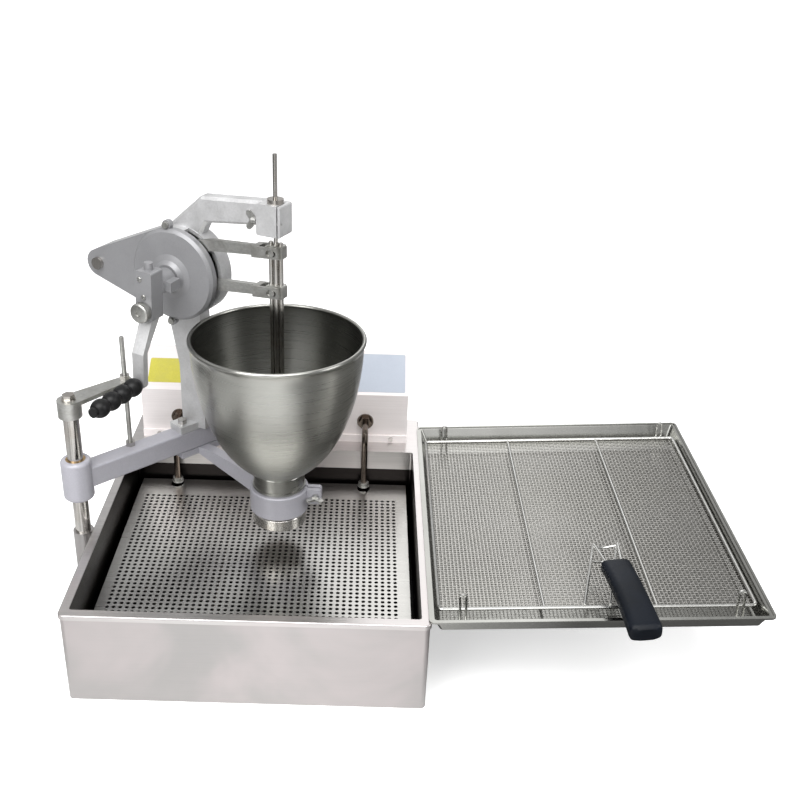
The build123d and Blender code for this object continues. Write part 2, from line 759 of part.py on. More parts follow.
def make_mechanism():
    for name, side, stroke in (("cam_front", 1, cutter_stroke), ("cam_rear", -1, piston_stroke)):
        edge = (-cam_far, -cam_near) if side > 0 else (cam_near, cam_far)
        track = (-cam_near - 5, -cam_near) if side > 0 else (cam_near, cam_near + 5)
        disc = rod_y(cam_x, cam_level, cam_radius, *edge)
        disc -= rod_y(cam_x, cam_level, shaft_radius + 0.02, *edge)
        disc -= upright(cam_groove(side, stroke), *track)
        save(name, head_place * disc)
    save("cam_shaft", head_place * rod_y(cam_x, cam_level, shaft_radius, shaft_front, shaft_rear))

    upper, upper_wheel = lever(1, upper_level, (-100, 527.0))
    lower, lower_wheel = lever(-1, lower_level, (-100, 471.0))
    save("upper_lever", head_place * upper)
    save("upper_roller", head_place * upper_wheel)
    save("lower_lever", head_place * lower)
    save("lower_roller", head_place * lower_wheel)
    save("upper_crosshead", head_place * crosshead(upper_level, cutter_rod_radius + 0.02, side_rod_radius + run_fit))
    save("lower_crosshead", head_place * crosshead(lower_level, cutter_rod_radius + run_fit, side_rod_radius + 0.02))

    step = upper_level + crosshead_height + 3
    rod = rod_z(0, 0, cutter_rod_radius, nozzle_bottom + 3, step)
    rod += rod_z(0, 0, guide_rod_radius, step, guide_rod_top)
    save("cutter_rod", head_place * rod)
    disc = rod_z(0, 0, nozzle_bore - 0.08, nozzle_bottom + 1, nozzle_bottom + 7)
    disc += rod_z(0, 0, 9, nozzle_bottom + 7, nozzle_bottom + 13)
    disc -= rod_z(0, 0, cutter_rod_radius + 0.02, nozzle_bottom + 3, nozzle_bottom + 13)
    save("cutter_disc", head_place * disc)
    low = nozzle_bottom + 36
    piston = rod_z(0, 0, nozzle_bore - 0.08, low, low + 14)
    piston -= rod_z(0, 0, cutter_rod_radius + run_fit, low, low + 14)
    rods = []
    for x in (-side_rod_offset, side_rod_offset):
        piston -= rod_z(x, 0, side_rod_radius + 0.02, low + 4, low + 14)
        rods.append(rod_z(x, 0, side_rod_radius, low + 4, upper_level + crosshead_height + 4))
    save("piston", head_place * piston)
    save("piston_rods", join(rods, head_place))


def make_crank():
    length = math.hypot(crank_aside, crank_down)
    lean = math.degrees(math.atan2(-crank_aside, -crank_down))
    crank_place = head_place * Pos(cam_x, 0, cam_level) * Rot(0, lean, 0)
    hub = rod_y(0, 0, 16, hub_rear, cover_front - 5)
    hub += block(-3, 25, hub_rear + 2, cover_front - 8, -7, 7)
    body = block(-13, 13, hub_front, hub_rear, -hub_drop, 26)
    hub += fillet(body.edges().filter_by(Axis.Y), 3)
    hub += rod_z(0, (hub_front + hub_rear) / 2, 6, 26, 36)
    hub -= rod_y(0, 0, shaft_radius + 0.02, shaft_front, cover_front)
    hub -= rod_y(0, -knob_drop, 3 + run_fit, hub_front, hub_front + 8)
    save("crank_hub", crank_place * hub)

    side = Plane.YZ * polygon(
        (hub_front + 4, -hub_drop), (hub_rear - 4, -hub_drop), (bar_rear, -bar_knee), (bar_rear, -length - 9),
        (bar_front, -length - 9), (bar_front, -bar_knee),
    )
    bar = extrude(side, 12, both=True) & upright(strap(0, -20, 10, 0, -length, 9), bar_front - 1, hub_rear)
    bar -= rod_y(0, -length, spindle_radius + 0.02, bar_front, bar_rear)
    save("crank_arm", crank_place * bar)

    knob = rod_y(0, -knob_drop, knob_radius, hub_front - 13, hub_front - 0.4)
    knob = chamfer(knob.edges().filter_by(GeomType.CIRCLE), 1.5)
    knob += rod_y(0, -knob_drop, 3, hub_front - 1, hub_front + 7.5)
    save("crank_knob", crank_place * knob)

    spindle = rod_y(0, -length, spindle_radius, grip_outer - 5, bar_rear)
    spindle += rod_y(0, -length, 7, grip_outer - 5, grip_outer - 0.8)
    save("grip_spindle", crank_place * spindle)

    step = (grip_inner - grip_outer) / grip_lobes
    bore = spindle_radius + run_fit
    edge = [(bore, grip_outer)]
    for k in range(4 * grip_lobes + 1):
        swell = (grip_radius - grip_waist) * math.sin(math.pi * (k % 4) / 4)
        edge.append((grip_waist + swell, grip_outer + k * step / 4))
    edge.append((bore, grip_inner))
    save("crank_grip", crank_place * turned(0, -length, *edge))


def make_tray():
    def pan(inset):
        """Tapered inside or outside of the pan, set in by a sheet thickness."""
        grow = tray_sheet - inset
        top = RectangleRounded(
            tray_length - 2 * tray_rim + 2 * grow, tray_depth - 2 * tray_rim + 2 * grow, tray_corner / 2 + grow
        )
        low = RectangleRounded(
            tray_length - 2 * tray_rim - 2 * tray_flare + 2 * grow,
            tray_depth - 2 * tray_rim - 2 * tray_flare + 2 * grow, tray_corner / 2 + grow,
        )
        base = -tray_drop + inset
        return loft([Pos(0, 0, base) * low, Pos(0, 0, tray_sheet) * top])

    middle = Pos(tray_length / 2, tray_front + tray_depth / 2, 0)
    flange = extrude(RectangleRounded(tray_length, tray_depth, tray_corner), tray_sheet)
    hem = flange - extrude(RectangleRounded(tray_length - 6, tray_depth - 6, tray_corner - 3), tray_sheet)
    hem = Pos(0, 0, tray_sheet) * hem
    tray = middle * (flange + pan(0) + hem - pan(tray_sheet))
    save("drain_tray", tray_place * tray)

    brackets = []
    bolts = []
    wall = fryer_width / 2 - sheet - seat_gap
    under = -tray_drop
    for y in (bracket_front, bracket_back):
        shelf = tray_place * block(14, bracket_reach + 15, y - 14, y + 14, under - 2.5, under)
        foot = wall + 30
        tip = wall + bracket_reach
        rise = math.tan(math.radians(tray_tilt))
        level = rim_height + under / math.cos(math.radians(tray_tilt))
        gusset = polygon(
            (wall, 20), (wall, level + (wall - tray_x) * rise - 2), (tip, level + (tip - tray_x) * rise - 2),
            (tip, level + (tip - tray_x) * rise - 12), (foot, 20),
        )
        piece = shelf + upright(gusset, y - 1.5, y + 1.5)
        piece += block(wall, wall + 3, y - 22, y + 22, 20, level - 4)
        for side in (-15, 15):
            for z in (36, level - 24):
                piece -= rod_x(y + side, z, 3.05, wall, wall + 3)
                bolt = rod_x(y + side, z, 3, wall, wall + 3)
                bolt += Pos(wall + 3, y + side, z) * Rot(0, 90, 0) * extrude(RegularPolygon(6.2, 6), 4)
                bolts.append(bolt)
        brackets.append(piece)
    save("tray_brackets", join(brackets))
    save("bracket_bolts", join(bolts))


def make_screen():
    floor = tray_sheet - tray_drop
    level = floor + screen_lift
    x0 = screen_offset
    x1 = screen_offset + screen_width
    y0 = screen_front
    y1 = screen_front + screen_depth
    middle = (x0 + x1) / 2
    corners = [(middle, y0), (x1, y0), (x1, y1), (x0, y1), (x0, y0), (middle, y0)]
    frame = bent_wire([(x, y, level) for x, y in corners], [screen_corner] * 4, screen_rod, 10)
    for x in (divider_near, divider_far):
        frame += rod_y(x, level, 2, y0, y1)
    save("screen_frame", tray_place * frame)

    net_top = level - screen_rod
    net = RectangleRounded(screen_width, screen_depth, screen_corner)
    step_x = (screen_width - 10) / net_columns
    step_y = (screen_depth - 10) / net_rows
    gaps = GridLocations(step_x, step_y, net_columns, net_rows) * Rectangle(step_x - 3, step_y - 3)
    net -= gaps
    net = Pos((x0 + x1) / 2, (y0 + y1) / 2, net_top - 1.0) * extrude(net, 1.0)
    save("screen_mesh", tray_place * net)

    loops = []
    reach = screen_rod + loop_wire + 0.3
    for x in (loop_near, loop_far):
        for y in (y0 - reach, y1 + reach):
            left = x - loop_half
            right = x + loop_half
            legs = [(left, y, floor), (left, y, level + 26), (right, y, level + 26), (right, y, floor)]
            loops.append(bent_wire(legs, [loop_half - 0.3, loop_half - 0.3], loop_wire, 8))
    save("screen_loops", join(loops, tray_place))

    handle_place = Pos(handle_x, handle_rear, handle_level) * Rot(0, 0, handle_turn)
    near = handle_grip_rear - handle_rear
    far = handle_grip_front - handle_rear
    grip = extrude(Plane.XZ * RectangleRounded(handle_grip_width, handle_grip_thick, 9), near - far)
    grip = chamfer(grip.faces().sort_by(Axis.Y)[0].edges() + grip.faces().sort_by(Axis.Y)[-1].edges(), 5)
    grip = Pos(0, near, 0) * grip
    wires = None
    ties = []
    for side in (-1, 1):
        inset = side * handle_inset
        grip -= rod_y(inset, 0, handle_wire + run_fit, far + 5, near)
        entry = (inset, near, 0)
        bend = (side * handle_spread, 0, 3)
        run = rod_y(inset, 0, handle_wire, far + 6, near) + Pos(*entry) * Sphere(handle_wire)
        run += strut(entry, bend, handle_wire) + Pos(*bend) * Sphere(handle_wire)
        top = (handle_place * Pos(*bend)).position
        foot = Vector(handle_feet + side * handle_spread, screen_front, level + screen_rod + handle_wire)
        leg = handle_place * run + strut(top, foot, handle_wire) + Pos(foot) * Sphere(handle_wire)
        wires = leg if wires is None else wires + leg
        ties.append(top * 0.7 + foot * 0.3)
    wires += strut(*ties, handle_wire)
    save("handle_wires", tray_place * wires)
    save("handle_grip", tray_place * handle_place * grip)


os.makedirs("parts", exist_ok=True)
make_fryer()
make_plate()
make_element()
make_controls()
make_post()
make_link()
make_arm()
make_head()
make_hopper()
make_mechanism()
make_crank()
make_tray()
make_screen()
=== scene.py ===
"""Looks of a counter-top doughnut machine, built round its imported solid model."""
import math

import bmesh
import bpy
import numpy as np
from bpy.props import FloatProperty, FloatVectorProperty, IntProperty, PointerProperty
from mathutils import Matrix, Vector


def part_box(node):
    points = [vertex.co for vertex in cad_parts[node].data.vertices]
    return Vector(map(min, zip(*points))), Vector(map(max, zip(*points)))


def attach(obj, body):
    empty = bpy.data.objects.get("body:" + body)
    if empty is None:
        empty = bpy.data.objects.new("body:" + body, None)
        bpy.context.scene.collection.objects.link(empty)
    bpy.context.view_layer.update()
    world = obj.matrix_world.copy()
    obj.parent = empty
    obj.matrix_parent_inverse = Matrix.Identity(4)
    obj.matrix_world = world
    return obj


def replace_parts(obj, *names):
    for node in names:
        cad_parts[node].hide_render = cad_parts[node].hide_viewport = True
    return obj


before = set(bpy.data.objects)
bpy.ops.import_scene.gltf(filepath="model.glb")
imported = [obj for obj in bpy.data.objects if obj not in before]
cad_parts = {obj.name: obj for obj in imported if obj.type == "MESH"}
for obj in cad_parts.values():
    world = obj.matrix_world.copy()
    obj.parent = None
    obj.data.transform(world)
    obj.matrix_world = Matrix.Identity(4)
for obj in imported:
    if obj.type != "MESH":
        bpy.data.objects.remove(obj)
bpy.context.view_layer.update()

bl_info = {
    "name": "Doughnut machine looks",
    "version": (1, 0, 0),
    "blender": (4, 5, 0),
    "location": "View3D > Sidebar > Machine",
    "description": "Fine pieces, finishes and studio for the doughnut machine",
    "category": "Object",
}

# Places of the solid model, in metres and radians.
HOPPER_AXIS = (0.0220009, -0.0046978, 0.0)
HEAD_TURN = math.radians(25.0)
TRAY_HOOK = (0.2349, 0.0, 0.1384)
TRAY_TILT = math.radians(3.0)
PANEL_FOOT = (0.0, 0.198, 0.224)
PANEL_TILT = math.atan2(45.0, 77.5)
ELEMENT_LEGS_X = (-0.1588, 0.147)
ELEMENT_LEGS_Y = 0.15
PLATE_TOP = 0.08
PLATE_LOW = 0.0785
PLATE_HALF_WIDTH = 0.2165
PLATE_FRONT = -0.258
PLATE_REAR = 0.156
SCREEN_FRONT = -0.2368
SCREEN_REAR = 0.2092

# Faces that meet at more than this angle keep a sharp edge.
SHARP_ANGLE = math.radians(38)


def place(origin, x_axis, y_axis, z_axis):
    """Local frame in metres from its origin and its three axes."""
    out = np.eye(4)
    out[:3, 0], out[:3, 1], out[:3, 2], out[:3, 3] = x_axis, y_axis, z_axis, origin
    return out


def turned(origin, axis, angle):
    """Local frame at an origin, turned by an angle about axis 0, 1 or 2 of the frame that it lies in."""
    out = np.eye(4)
    a, b = (axis + 1) % 3, (axis + 2) % 3
    out[a, a] = out[b, b] = math.cos(angle)
    out[b, a] = math.sin(angle)
    out[a, b] = -math.sin(angle)
    out[:3, 3] = origin
    return out


HEAD = turned(HOPPER_AXIS, 2, -HEAD_TURN)
TRAY = turned(TRAY_HOOK, 1, -TRAY_TILT)
PANEL = turned(PANEL_FOOT, 0, PANEL_TILT)


def moved(points, frame_matrix):
    """Points of a local frame in the model's frame."""
    return points @ frame_matrix[:3, :3].T + frame_matrix[:3, 3]


def circle(steps):
    """Angles of evenly spaced points round a circle."""
    return np.linspace(0, 2 * np.pi, steps, endpoint=False)


def grid_faces(rows, columns, close_rows=False, close_columns=False):
    """Quads of a grid numbered row by row; a closed side joins its last line to its first."""
    r = np.arange(rows if close_rows else rows - 1)
    c = np.arange(columns if close_columns else columns - 1)
    a, b = np.meshgrid(r, c, indexing="ij")
    a2, b2 = (a + 1) % rows, (b + 1) % columns
    corners = [a * columns + b, a * columns + b2, a2 * columns + b2, a2 * columns + b]
    return np.stack(corners, -1).reshape(-1, 4)


def joined(parts):
    """One array of points and one list of faces from several pairs of points and faces."""
    points, faces, count = [], [], 0
    for part_points, part_faces in parts:
        points.append(part_points)
        faces += [[i + count for i in face] for face in part_faces]
        count += len(part_points)
    return np.concatenate(points), faces


def new_piece(name, points, faces, material, uv=None, smooth=True, weld=0.0):
    """Mesh object at the origin from arrays of points and faces; weld joins points that fall together."""
    mesh = bpy.data.meshes.new(name)
    mesh.from_pydata(np.asarray(points, float).tolist(), [], [list(map(int, f)) for f in faces])
    if uv is not None:
        layer = mesh.uv_layers.new(name="UVMap")
        corner = np.empty(len(mesh.loops), np.int32)
        mesh.loops.foreach_get("vertex_index", corner)
        layer.data.foreach_set("uv", np.asarray(uv, np.float32)[corner].ravel())
    work = bmesh.new()
    work.from_mesh(mesh)
    if weld:
        bmesh.ops.remove_doubles(work, verts=work.verts, dist=weld)
    bmesh.ops.recalc_face_normals(work, faces=work.faces)
    work.to_mesh(mesh)
    work.free()
    mesh.polygons.foreach_set("use_smooth", np.full(len(mesh.polygons), smooth))
    if smooth:
        mesh.set_sharp_from_angle(angle=SHARP_ANGLE)
    mesh.update()
    mesh.materials.append(material)
    piece = bpy.data.objects.new(name, mesh)
    bpy.context.scene.collection.objects.link(piece)
    return piece


def lathe(profile, steps, swell=None):
    """Turned surface: each (r, h) of a closed profile goes round to (r cos t, r sin t, h).

    swell is a function of t that scales the radius, and a mask of the profile points that it scales."""
    t = circle(steps)
    r = np.repeat(profile[:, :1], steps, 1)
    if swell is not None:
        scale, scaled = swell
        r = r * np.where(scaled[:, None], scale(t)[None, :], 1.0)
    points = np.stack([r * np.cos(t), r * np.sin(t), np.repeat(profile[:, 1:2], steps, 1)], -1)
    return points.reshape(-1, 3), grid_faces(len(profile), steps, True, True)


def skins(rows):
    """Tubes from an array (tube, station, corner, xyz): quads along each tube and a cap at both ends."""
    tubes, stations, corners = rows.shape[:3]
    side = grid_faces(stations, corners, False, True)
    shift = (np.arange(tubes) * stations * corners)[:, None, None]
    ring = np.arange(corners)
    ends = np.stack([ring[::-1], ring + (stations - 1) * corners])
    faces = [list(f) for f in (side[None] + shift).reshape(-1, 4)]
    faces += [list(f) for f in (ends[None] + shift).reshape(-1, corners)]
    return rows.reshape(-1, 3), faces


def rounded_path(points, bend):
    """Path through points; a quadratic curve eases each inner corner, from bend before it to bend after."""
    points = np.asarray(points, float)
    out = [points[:1]]
    s = np.linspace(0, 1, 9)[:, None]
    for k in range(1, len(points) - 1):
        back = points[k - 1] - points[k]
        ahead = points[k + 1] - points[k]
        a = points[k] + back / np.linalg.norm(back) * bend
        b = points[k] + ahead / np.linalg.norm(ahead) * bend
        out.append((1 - s) ** 2 * a + 2 * s * (1 - s) * points[k] + s ** 2 * b)
    out.append(points[-1:])
    return np.concatenate(out)


def wire(path, radius, corners=10):
    """Round section carried along a path, kept square to the mean direction at each station."""
    off_path = (0.48, 0.36, 0.8)
    ahead = np.gradient(path, axis=0)
    ahead /= np.linalg.norm(ahead, axis=1, keepdims=True)
    side = np.cross(ahead, off_path)
    side /= np.linalg.norm(side, axis=1, keepdims=True)
    up = np.cross(side, ahead)
    t = circle(corners)
    ring = side[:, None] * np.cos(t)[None, :, None] + up[:, None] * np.sin(t)[None, :, None]
    return skins((path[:, None] + radius * ring)[None])


def add(tree, kind, **values):
    """Shader node with its plain settings and input values."""
    node = tree.nodes.new(kind)
    for key, value in values.items():
        if hasattr(node, key):
            setattr(node, key, value)
        else:
            node.inputs[key.replace("_", " ")].default_value = value
    return node


# Sockets of a node that mixes colours: its share, the two ends and the result.
SHARE, COLOUR_A, COLOUR_B, COLOUR = 0, 6, 7, 2


def colour_mix(tree, first=None, second=None):
    """Node that mixes two colours; an end that isn't given here comes in through a link."""
    node = add(tree, "ShaderNodeMix", data_type="RGBA")
    for end, colour in ((COLOUR_A, first), (COLOUR_B, second)):
        if colour is not None:
            node.inputs[end].default_value = (*colour, 1)
    return node


def axes(tree, space):
    """Sockets of x, y and z in a texture space."""
    spot = add(tree, "ShaderNodeTexCoord")
    apart = add(tree, "ShaderNodeSeparateXYZ")
    tree.links.new(spot.outputs[space], apart.inputs[0])
    return apart.outputs


def new_group(name, inputs, outputs):
    """Shader group from a vector and numbers to numbers, still empty, with the nodes at its two ends."""
    tree = bpy.data.node_groups.new(name, "ShaderNodeTree")
    tree.interface.new_socket("Vector", in_out="INPUT", socket_type="NodeSocketVector")
    for label, value in inputs.items():
        socket = tree.interface.new_socket(label, in_out="INPUT", socket_type="NodeSocketFloat")
        socket.default_value = value
    for label in outputs:
        tree.interface.new_socket(label, in_out="OUTPUT", socket_type="NodeSocketFloat")
    return tree, tree.nodes.new("NodeGroupInput"), tree.nodes.new("NodeGroupOutput")


def grain_group():
    """Fine grain: a noise at the scale of its vector, crossed with a coarser one."""
    if "Fine grain" in bpy.data.node_groups:
        return bpy.data.node_groups["Fine grain"]
    tree, source, sink = new_group("Fine grain", {"Coarse": 0.25}, ("Shade", "Height"))
    link = tree.links.new
    fine = add(tree, "ShaderNodeTexNoise", Scale=1.0, Detail=3.0, Roughness=0.6)
    wide = add(tree, "ShaderNodeTexNoise", Scale=0.17, Detail=2.0, Roughness=0.5)
    blend = add(tree, "ShaderNodeMix", data_type="FLOAT")
    cut = add(tree, "ShaderNodeMapRange", From_Min=0.32, From_Max=0.68)
    link(source.outputs["Vector"], fine.inputs["Vector"])
    link(source.outputs["Vector"], wide.inputs["Vector"])
    link(source.outputs["Coarse"], blend.inputs["Factor"])
    link(fine.outputs[0], blend.inputs["A"])
    link(wide.outputs[0], blend.inputs["B"])
    link(blend.outputs[0], cut.inputs["Value"])
    link(cut.outputs[0], sink.inputs["Shade"])
    link(fine.outputs[0], sink.inputs["Height"])
    return tree


def soft_patch_group():
    """Soft patches for stains, and for the painted reflection tint on the fryer's sheet and tank: a wide,
    bent noise cut between two levels.
    """
    if "Patch mask" in bpy.data.node_groups:
        return bpy.data.node_groups["Patch mask"]
    tree, source, sink = new_group("Patch mask", {"Scale": 6.0, "Low": 0.42, "High": 0.66}, ("Mask",))
    link = tree.links.new
    wide = add(tree, "ShaderNodeTexNoise", Detail=4.0, Roughness=0.55, Distortion=0.6)
    cut = add(tree, "ShaderNodeMapRange", interpolation_type="SMOOTHSTEP")
    link(source.outputs["Vector"], wide.inputs["Vector"])
    link(source.outputs["Scale"], wide.inputs["Scale"])
    link(wide.outputs[0], cut.inputs["Value"])
    link(source.outputs["Low"], cut.inputs["From Min"])
    link(source.outputs["High"], cut.inputs["From Max"])
    link(cut.outputs[0], sink.inputs["Mask"])
    return tree


def finish(name, light, dark, rough, stretch, bump=(0.05, 0.0002), stain_and_reflection=None, metallic=1.0, coarse=0.25,
           from_uv=False, **fixed):
    """Surface finish: a grain stretched over the piece shades colour, gloss and height, under soft patches.

    rough holds the least and the most roughness, stretch one scale or one for each axis, bump a strength
    and a distance, stain_and_reflection a colour, its share and the scale of its patches (stains, except on
    the fryer's sheet and tank, where they are a painted reflection tint), fixed more shader values."""
    if name in bpy.data.materials:
        return bpy.data.materials[name]
    patch_colour, patch_share, patch_scale = stain_and_reflection or (dark, 0.0, 6.0)
    material = bpy.data.materials.new(name)
    material.use_nodes = True
    tree = material.node_tree
    tree.nodes.clear()
    link = tree.links.new
    out = add(tree, "ShaderNodeOutputMaterial")
    base = add(tree, "ShaderNodeBsdfPrincipled", Metallic=metallic, **fixed)
    spot = add(tree, "ShaderNodeTexCoord")
    scale = add(tree, "ShaderNodeMapping", Scale=np.broadcast_to(stretch, 3).tolist())
    grain = add(tree, "ShaderNodeGroup", node_tree=grain_group(), Coarse=coarse)
    soft_patches = add(tree, "ShaderNodeGroup", node_tree=soft_patch_group(), Scale=patch_scale)
    colour = colour_mix(tree, dark, light)
    tint = colour_mix(tree, second=patch_colour)
    amount = add(tree, "ShaderNodeMath", operation="MULTIPLY")
    amount.inputs[1].default_value = patch_share
    gloss = add(tree, "ShaderNodeMapRange", To_Min=rough[0], To_Max=rough[1])
    relief = add(tree, "ShaderNodeBump", Strength=bump[0], Distance=bump[1])
    link(base.outputs[0], out.inputs["Surface"])
    link(spot.outputs["UV" if from_uv else "Object"], scale.inputs["Vector"])
    link(scale.outputs[0], grain.inputs["Vector"])
    link(spot.outputs["Object"], soft_patches.inputs["Vector"])
    link(grain.outputs["Shade"], colour.inputs[SHARE])
    link(soft_patches.outputs["Mask"], amount.inputs[0])
    link(amount.outputs[0], tint.inputs[SHARE])
    link(colour.outputs[COLOUR], tint.inputs[COLOUR_A])
    link(tint.outputs[COLOUR], base.inputs["Base Color"])
    link(grain.outputs["Shade"], gloss.inputs["Value"])
    link(gloss.outputs[0], base.inputs["Roughness"])
    link(grain.outputs["Height"], relief.inputs["Height"])
    link(relief.outputs[0], base.inputs["Normal"])
    return material


def paint_shade_in_box(material, low, high, shade):
    """Darkens a finish inside a box of the model, as painted shade and painted dark reflection on the
    tank's walls.
    """
    tree = material.node_tree
    link = tree.links.new
    base = next(n for n in tree.nodes if n.type == "BSDF_PRINCIPLED")
    before = base.inputs["Base Color"].links[0].from_socket
    mask = None
    for value, least, most in zip(axes(tree, "Object"), low, high):
        for bound, test in ((least, "GREATER_THAN"), (most, "LESS_THAN")):
            side = add(tree, "ShaderNodeMath", operation=test)
            side.inputs[1].default_value = bound
            link(value, side.inputs[0])
            if mask is not None:
                both = add(tree, "ShaderNodeMath", operation="MULTIPLY")
                link(mask, both.inputs[0])
                link(side.outputs[0], both.inputs[1])
                side = both
            mask = side.outputs[0]
    mix = colour_mix(tree, second=shade)
    link(mask, mix.inputs[SHARE])
    link(before, mix.inputs[COLOUR_A])
    link(mix.outputs[COLOUR], base.inputs["Base Color"])


def colours():
    """Colours that the user may have changed."""
    return bpy.context.scene.machine_colours


def shaded(colour, share):
    """Colour with each channel scaled by a share."""
    return tuple(share * value for value in colour)


def sheet_steel():
    """Sheet of the fryer's case, brushed along its front, with soft patches of painted warm reflection
    tint.
    """
    steel = colours().sheet_steel
    return finish(
        "sheet_steel", shaded(steel, 0.67), shaded(steel, 0.63), rough=(0.28, 0.35),
        stretch=(9, 700, 700), stain_and_reflection=(colours().warm_reflection_tint, 0.5, 4.0))


def tank_steel():
    """Sheet of the tank with a painted warm reflection tint, bare on its rim and darker down its walls as
    painted shade and painted dark reflection.
    """
    steel = colours().sheet_steel
    # Soft patches of the warm colour are painted reflection tint.
    material = finish(
        "tank_steel", steel, shaded(steel, 0.82), rough=(0.28, 0.4), stretch=(10, 640, 640),
        stain_and_reflection=(colours().warm_reflection_tint, 0.45, 5.0))
    half_width, front, deck, rear_wall = 0.229, -0.268, 0.158, 0.1665
    # Painted shade and dark reflection: the walls and floor up to the rim, darker on the lower rear wall,
    # darkest under the plate.
    for start, end, top, shade in (
        (front, deck, 0.1366, (0.05, 0.046, 0.042)),
        (deck, rear_wall, 0.106, (0.03, 0.026, 0.025)),
        (front, rear_wall, 0.077, (0.006, 0.006, 0.006)),
    ):
        paint_shade_in_box(material, (-half_width, start, 0.0), (half_width, end, top), shade)
    return material


def plate_steel():
    """Sheet of the perforated plate, brushed across."""
    steel = colours().plate_steel
    return finish(
        "plate_steel", steel, shaded(steel, 0.88), rough=(0.26, 0.34), stretch=(12, 600, 600),
        stain_and_reflection=((0.4, 0.39, 0.37), 0.35, 7.0))


def hopper_steel(name, share):
    """Spun steel: fine rings round the bowl draw every reflection out along its height."""
    steel = shaded(colours().hopper_steel, share)
    return finish(
        name, steel, shaded(steel, 0.94), rough=(0.26, 0.31), stretch=(2, 900, 1), bump=(0.008, 0.0001),
        stain_and_reflection=(shaded(steel, 0.88), 0.5, 3.0), from_uv=True, Anisotropic=0.85, Anisotropic_Rotation=0.25)


def bright_steel():
    """Turned and polished steel of the post, rods and nuts."""
    steel = colours().bright_steel
    return finish(
        "polished_steel", steel, shaded(steel, 0.8), rough=(0.1, 0.2), stretch=(500, 500, 60),
        bump=(0.03, 0.0001), stain_and_reflection=((0.38, 0.33, 0.28), 0.4, 30.0))


def wire_steel():
    """Drawn wire of the screen's net, a little dull."""
    steel = colours().bright_steel
    return finish(
        "wire_steel", shaded(steel, 0.8), shaded(steel, 0.6), rough=(0.2, 0.34), stretch=300,
        bump=(0.04, 0.0001), stain_and_reflection=((0.4, 0.39, 0.36), 0.4, 9.0))


def frame_steel():
    """Bright thick wire of the screen's frame, loops and handle."""
    return finish(
        "frame_steel", (0.74, 0.74, 0.72), (0.62, 0.62, 0.6), rough=(0.18, 0.3), stretch=300,
        bump=(0.03, 0.0001), stain_and_reflection=((0.55, 0.54, 0.5), 0.35, 12.0))


def lever_steel():
    """Milled steel of levers, link and screws, greasy in places."""
    steel = colours().lever_steel
    return finish(
        "lever_steel", steel, shaded(steel, 0.74), rough=(0.3, 0.46), stretch=(160, 420, 420),
        bump=(0.12, 0.0003), stain_and_reflection=((0.34, 0.33, 0.3), 0.5, 34.0))


def panel_steel():
    """Pale sheet of the control box."""
    return finish(
        "panel_steel", (0.95, 0.9, 0.895), (0.88, 0.83, 0.825), rough=(0.3, 0.42), stretch=(9, 640, 640),
        stain_and_reflection=((0.84, 0.77, 0.75), 0.5, 4.0), metallic=0.25)


def tray_steel():
    """Bright rolled sheet of the draining tray, with grey marks."""
    return finish(
        "tray_steel", (0.38, 0.38, 0.36), (0.32, 0.32, 0.305), rough=(0.15, 0.25), stretch=(420, 9, 420),
        stain_and_reflection=((0.24, 0.24, 0.225), 0.4, 5.0))


def element_steel():
    """Brown, heat-stained tube of the heating element."""
    return finish(
        "element_steel", (0.26, 0.22, 0.19), (0.17, 0.14, 0.12), rough=(0.12, 0.22),
        stretch=(400, 400, 60), stain_and_reflection=((0.12, 0.09, 0.07), 0.6, 24.0))


def cam_steel():
    """Dark oiled steel of the cams."""
    return finish(
        "cam_steel", (0.3, 0.29, 0.27), (0.2, 0.19, 0.18), rough=(0.3, 0.5), stretch=300,
        bump=(0.08, 0.0002))


def bush_bronze():
    """Bronze of the bush between sleeve and post."""
    return finish(
        "bush_bronze", (0.52, 0.37, 0.2), (0.4, 0.27, 0.14), rough=(0.25, 0.4), stretch=(300, 300, 60))


def arm_paint():
    """Smooth lilac-grey paint of the swing arm and collar."""
    paint = colours().arm_paint
    return finish(
        "arm_paint", paint, shaded(paint, 0.88), rough=(0.34, 0.48), stretch=420, bump=(0.1, 0.0004),
        stain_and_reflection=((0.4, 0.39, 0.42), 0.3, 14.0), metallic=0.15, Coat_Weight=0.15, Coat_Roughness=0.3)


def cover_paint():
    """Grey paint of the cam cover and crank hub."""
    paint = colours().cover_paint
    return finish(
        "cover_paint", paint, shaded(paint, 0.9), rough=(0.34, 0.46), stretch=520, bump=(0.08, 0.0003),
        stain_and_reflection=((0.34, 0.34, 0.35), 0.3, 12.0), metallic=0.35)


def cast_paint():
    """Silver paint over the sandy skin of the head casting and crank arm."""
    paint = colours().cast_paint
    return finish(
        "cast_paint", paint, shaded(paint, 0.8), rough=(0.36, 0.56), stretch=330, bump=(0.4, 0.0008),
        stain_and_reflection=((0.46, 0.46, 0.46), 0.4, 16.0), metallic=0.55, coarse=0.45)


def black_plastic():
    """Black moulding of the bead grip, knob and switch."""
    return finish(
        "bead_black", (0.009, 0.009, 0.01), (0.006, 0.006, 0.006), rough=(0.3, 0.42), stretch=600,
        bump=(0.08, 0.0002), stain_and_reflection=((0.014, 0.014, 0.014), 0.4, 20.0), metallic=0.0,
        Specular_IOR_Level=0.25)


def navy_plastic():
    """Dark blue moulding of the screen's grip."""
    navy = colours().handle_navy
    return finish(
        "handle_moulding", navy, shaded(navy, 0.7), rough=(0.36, 0.5), stretch=700, bump=(0.1, 0.0002),
        stain_and_reflection=((0.005, 0.008, 0.015), 0.4, 18.0), metallic=0.0, Specular_IOR_Level=0.2)


def lamp_lens():
    """Red lens of the indicator lamps."""
    return finish(
        "lamp_lens", (0.55, 0.13, 0.06), (0.42, 0.08, 0.04), rough=(0.12, 0.2), stretch=300,
        bump=(0.02, 0.0001), metallic=0.0, Coat_Weight=0.5)


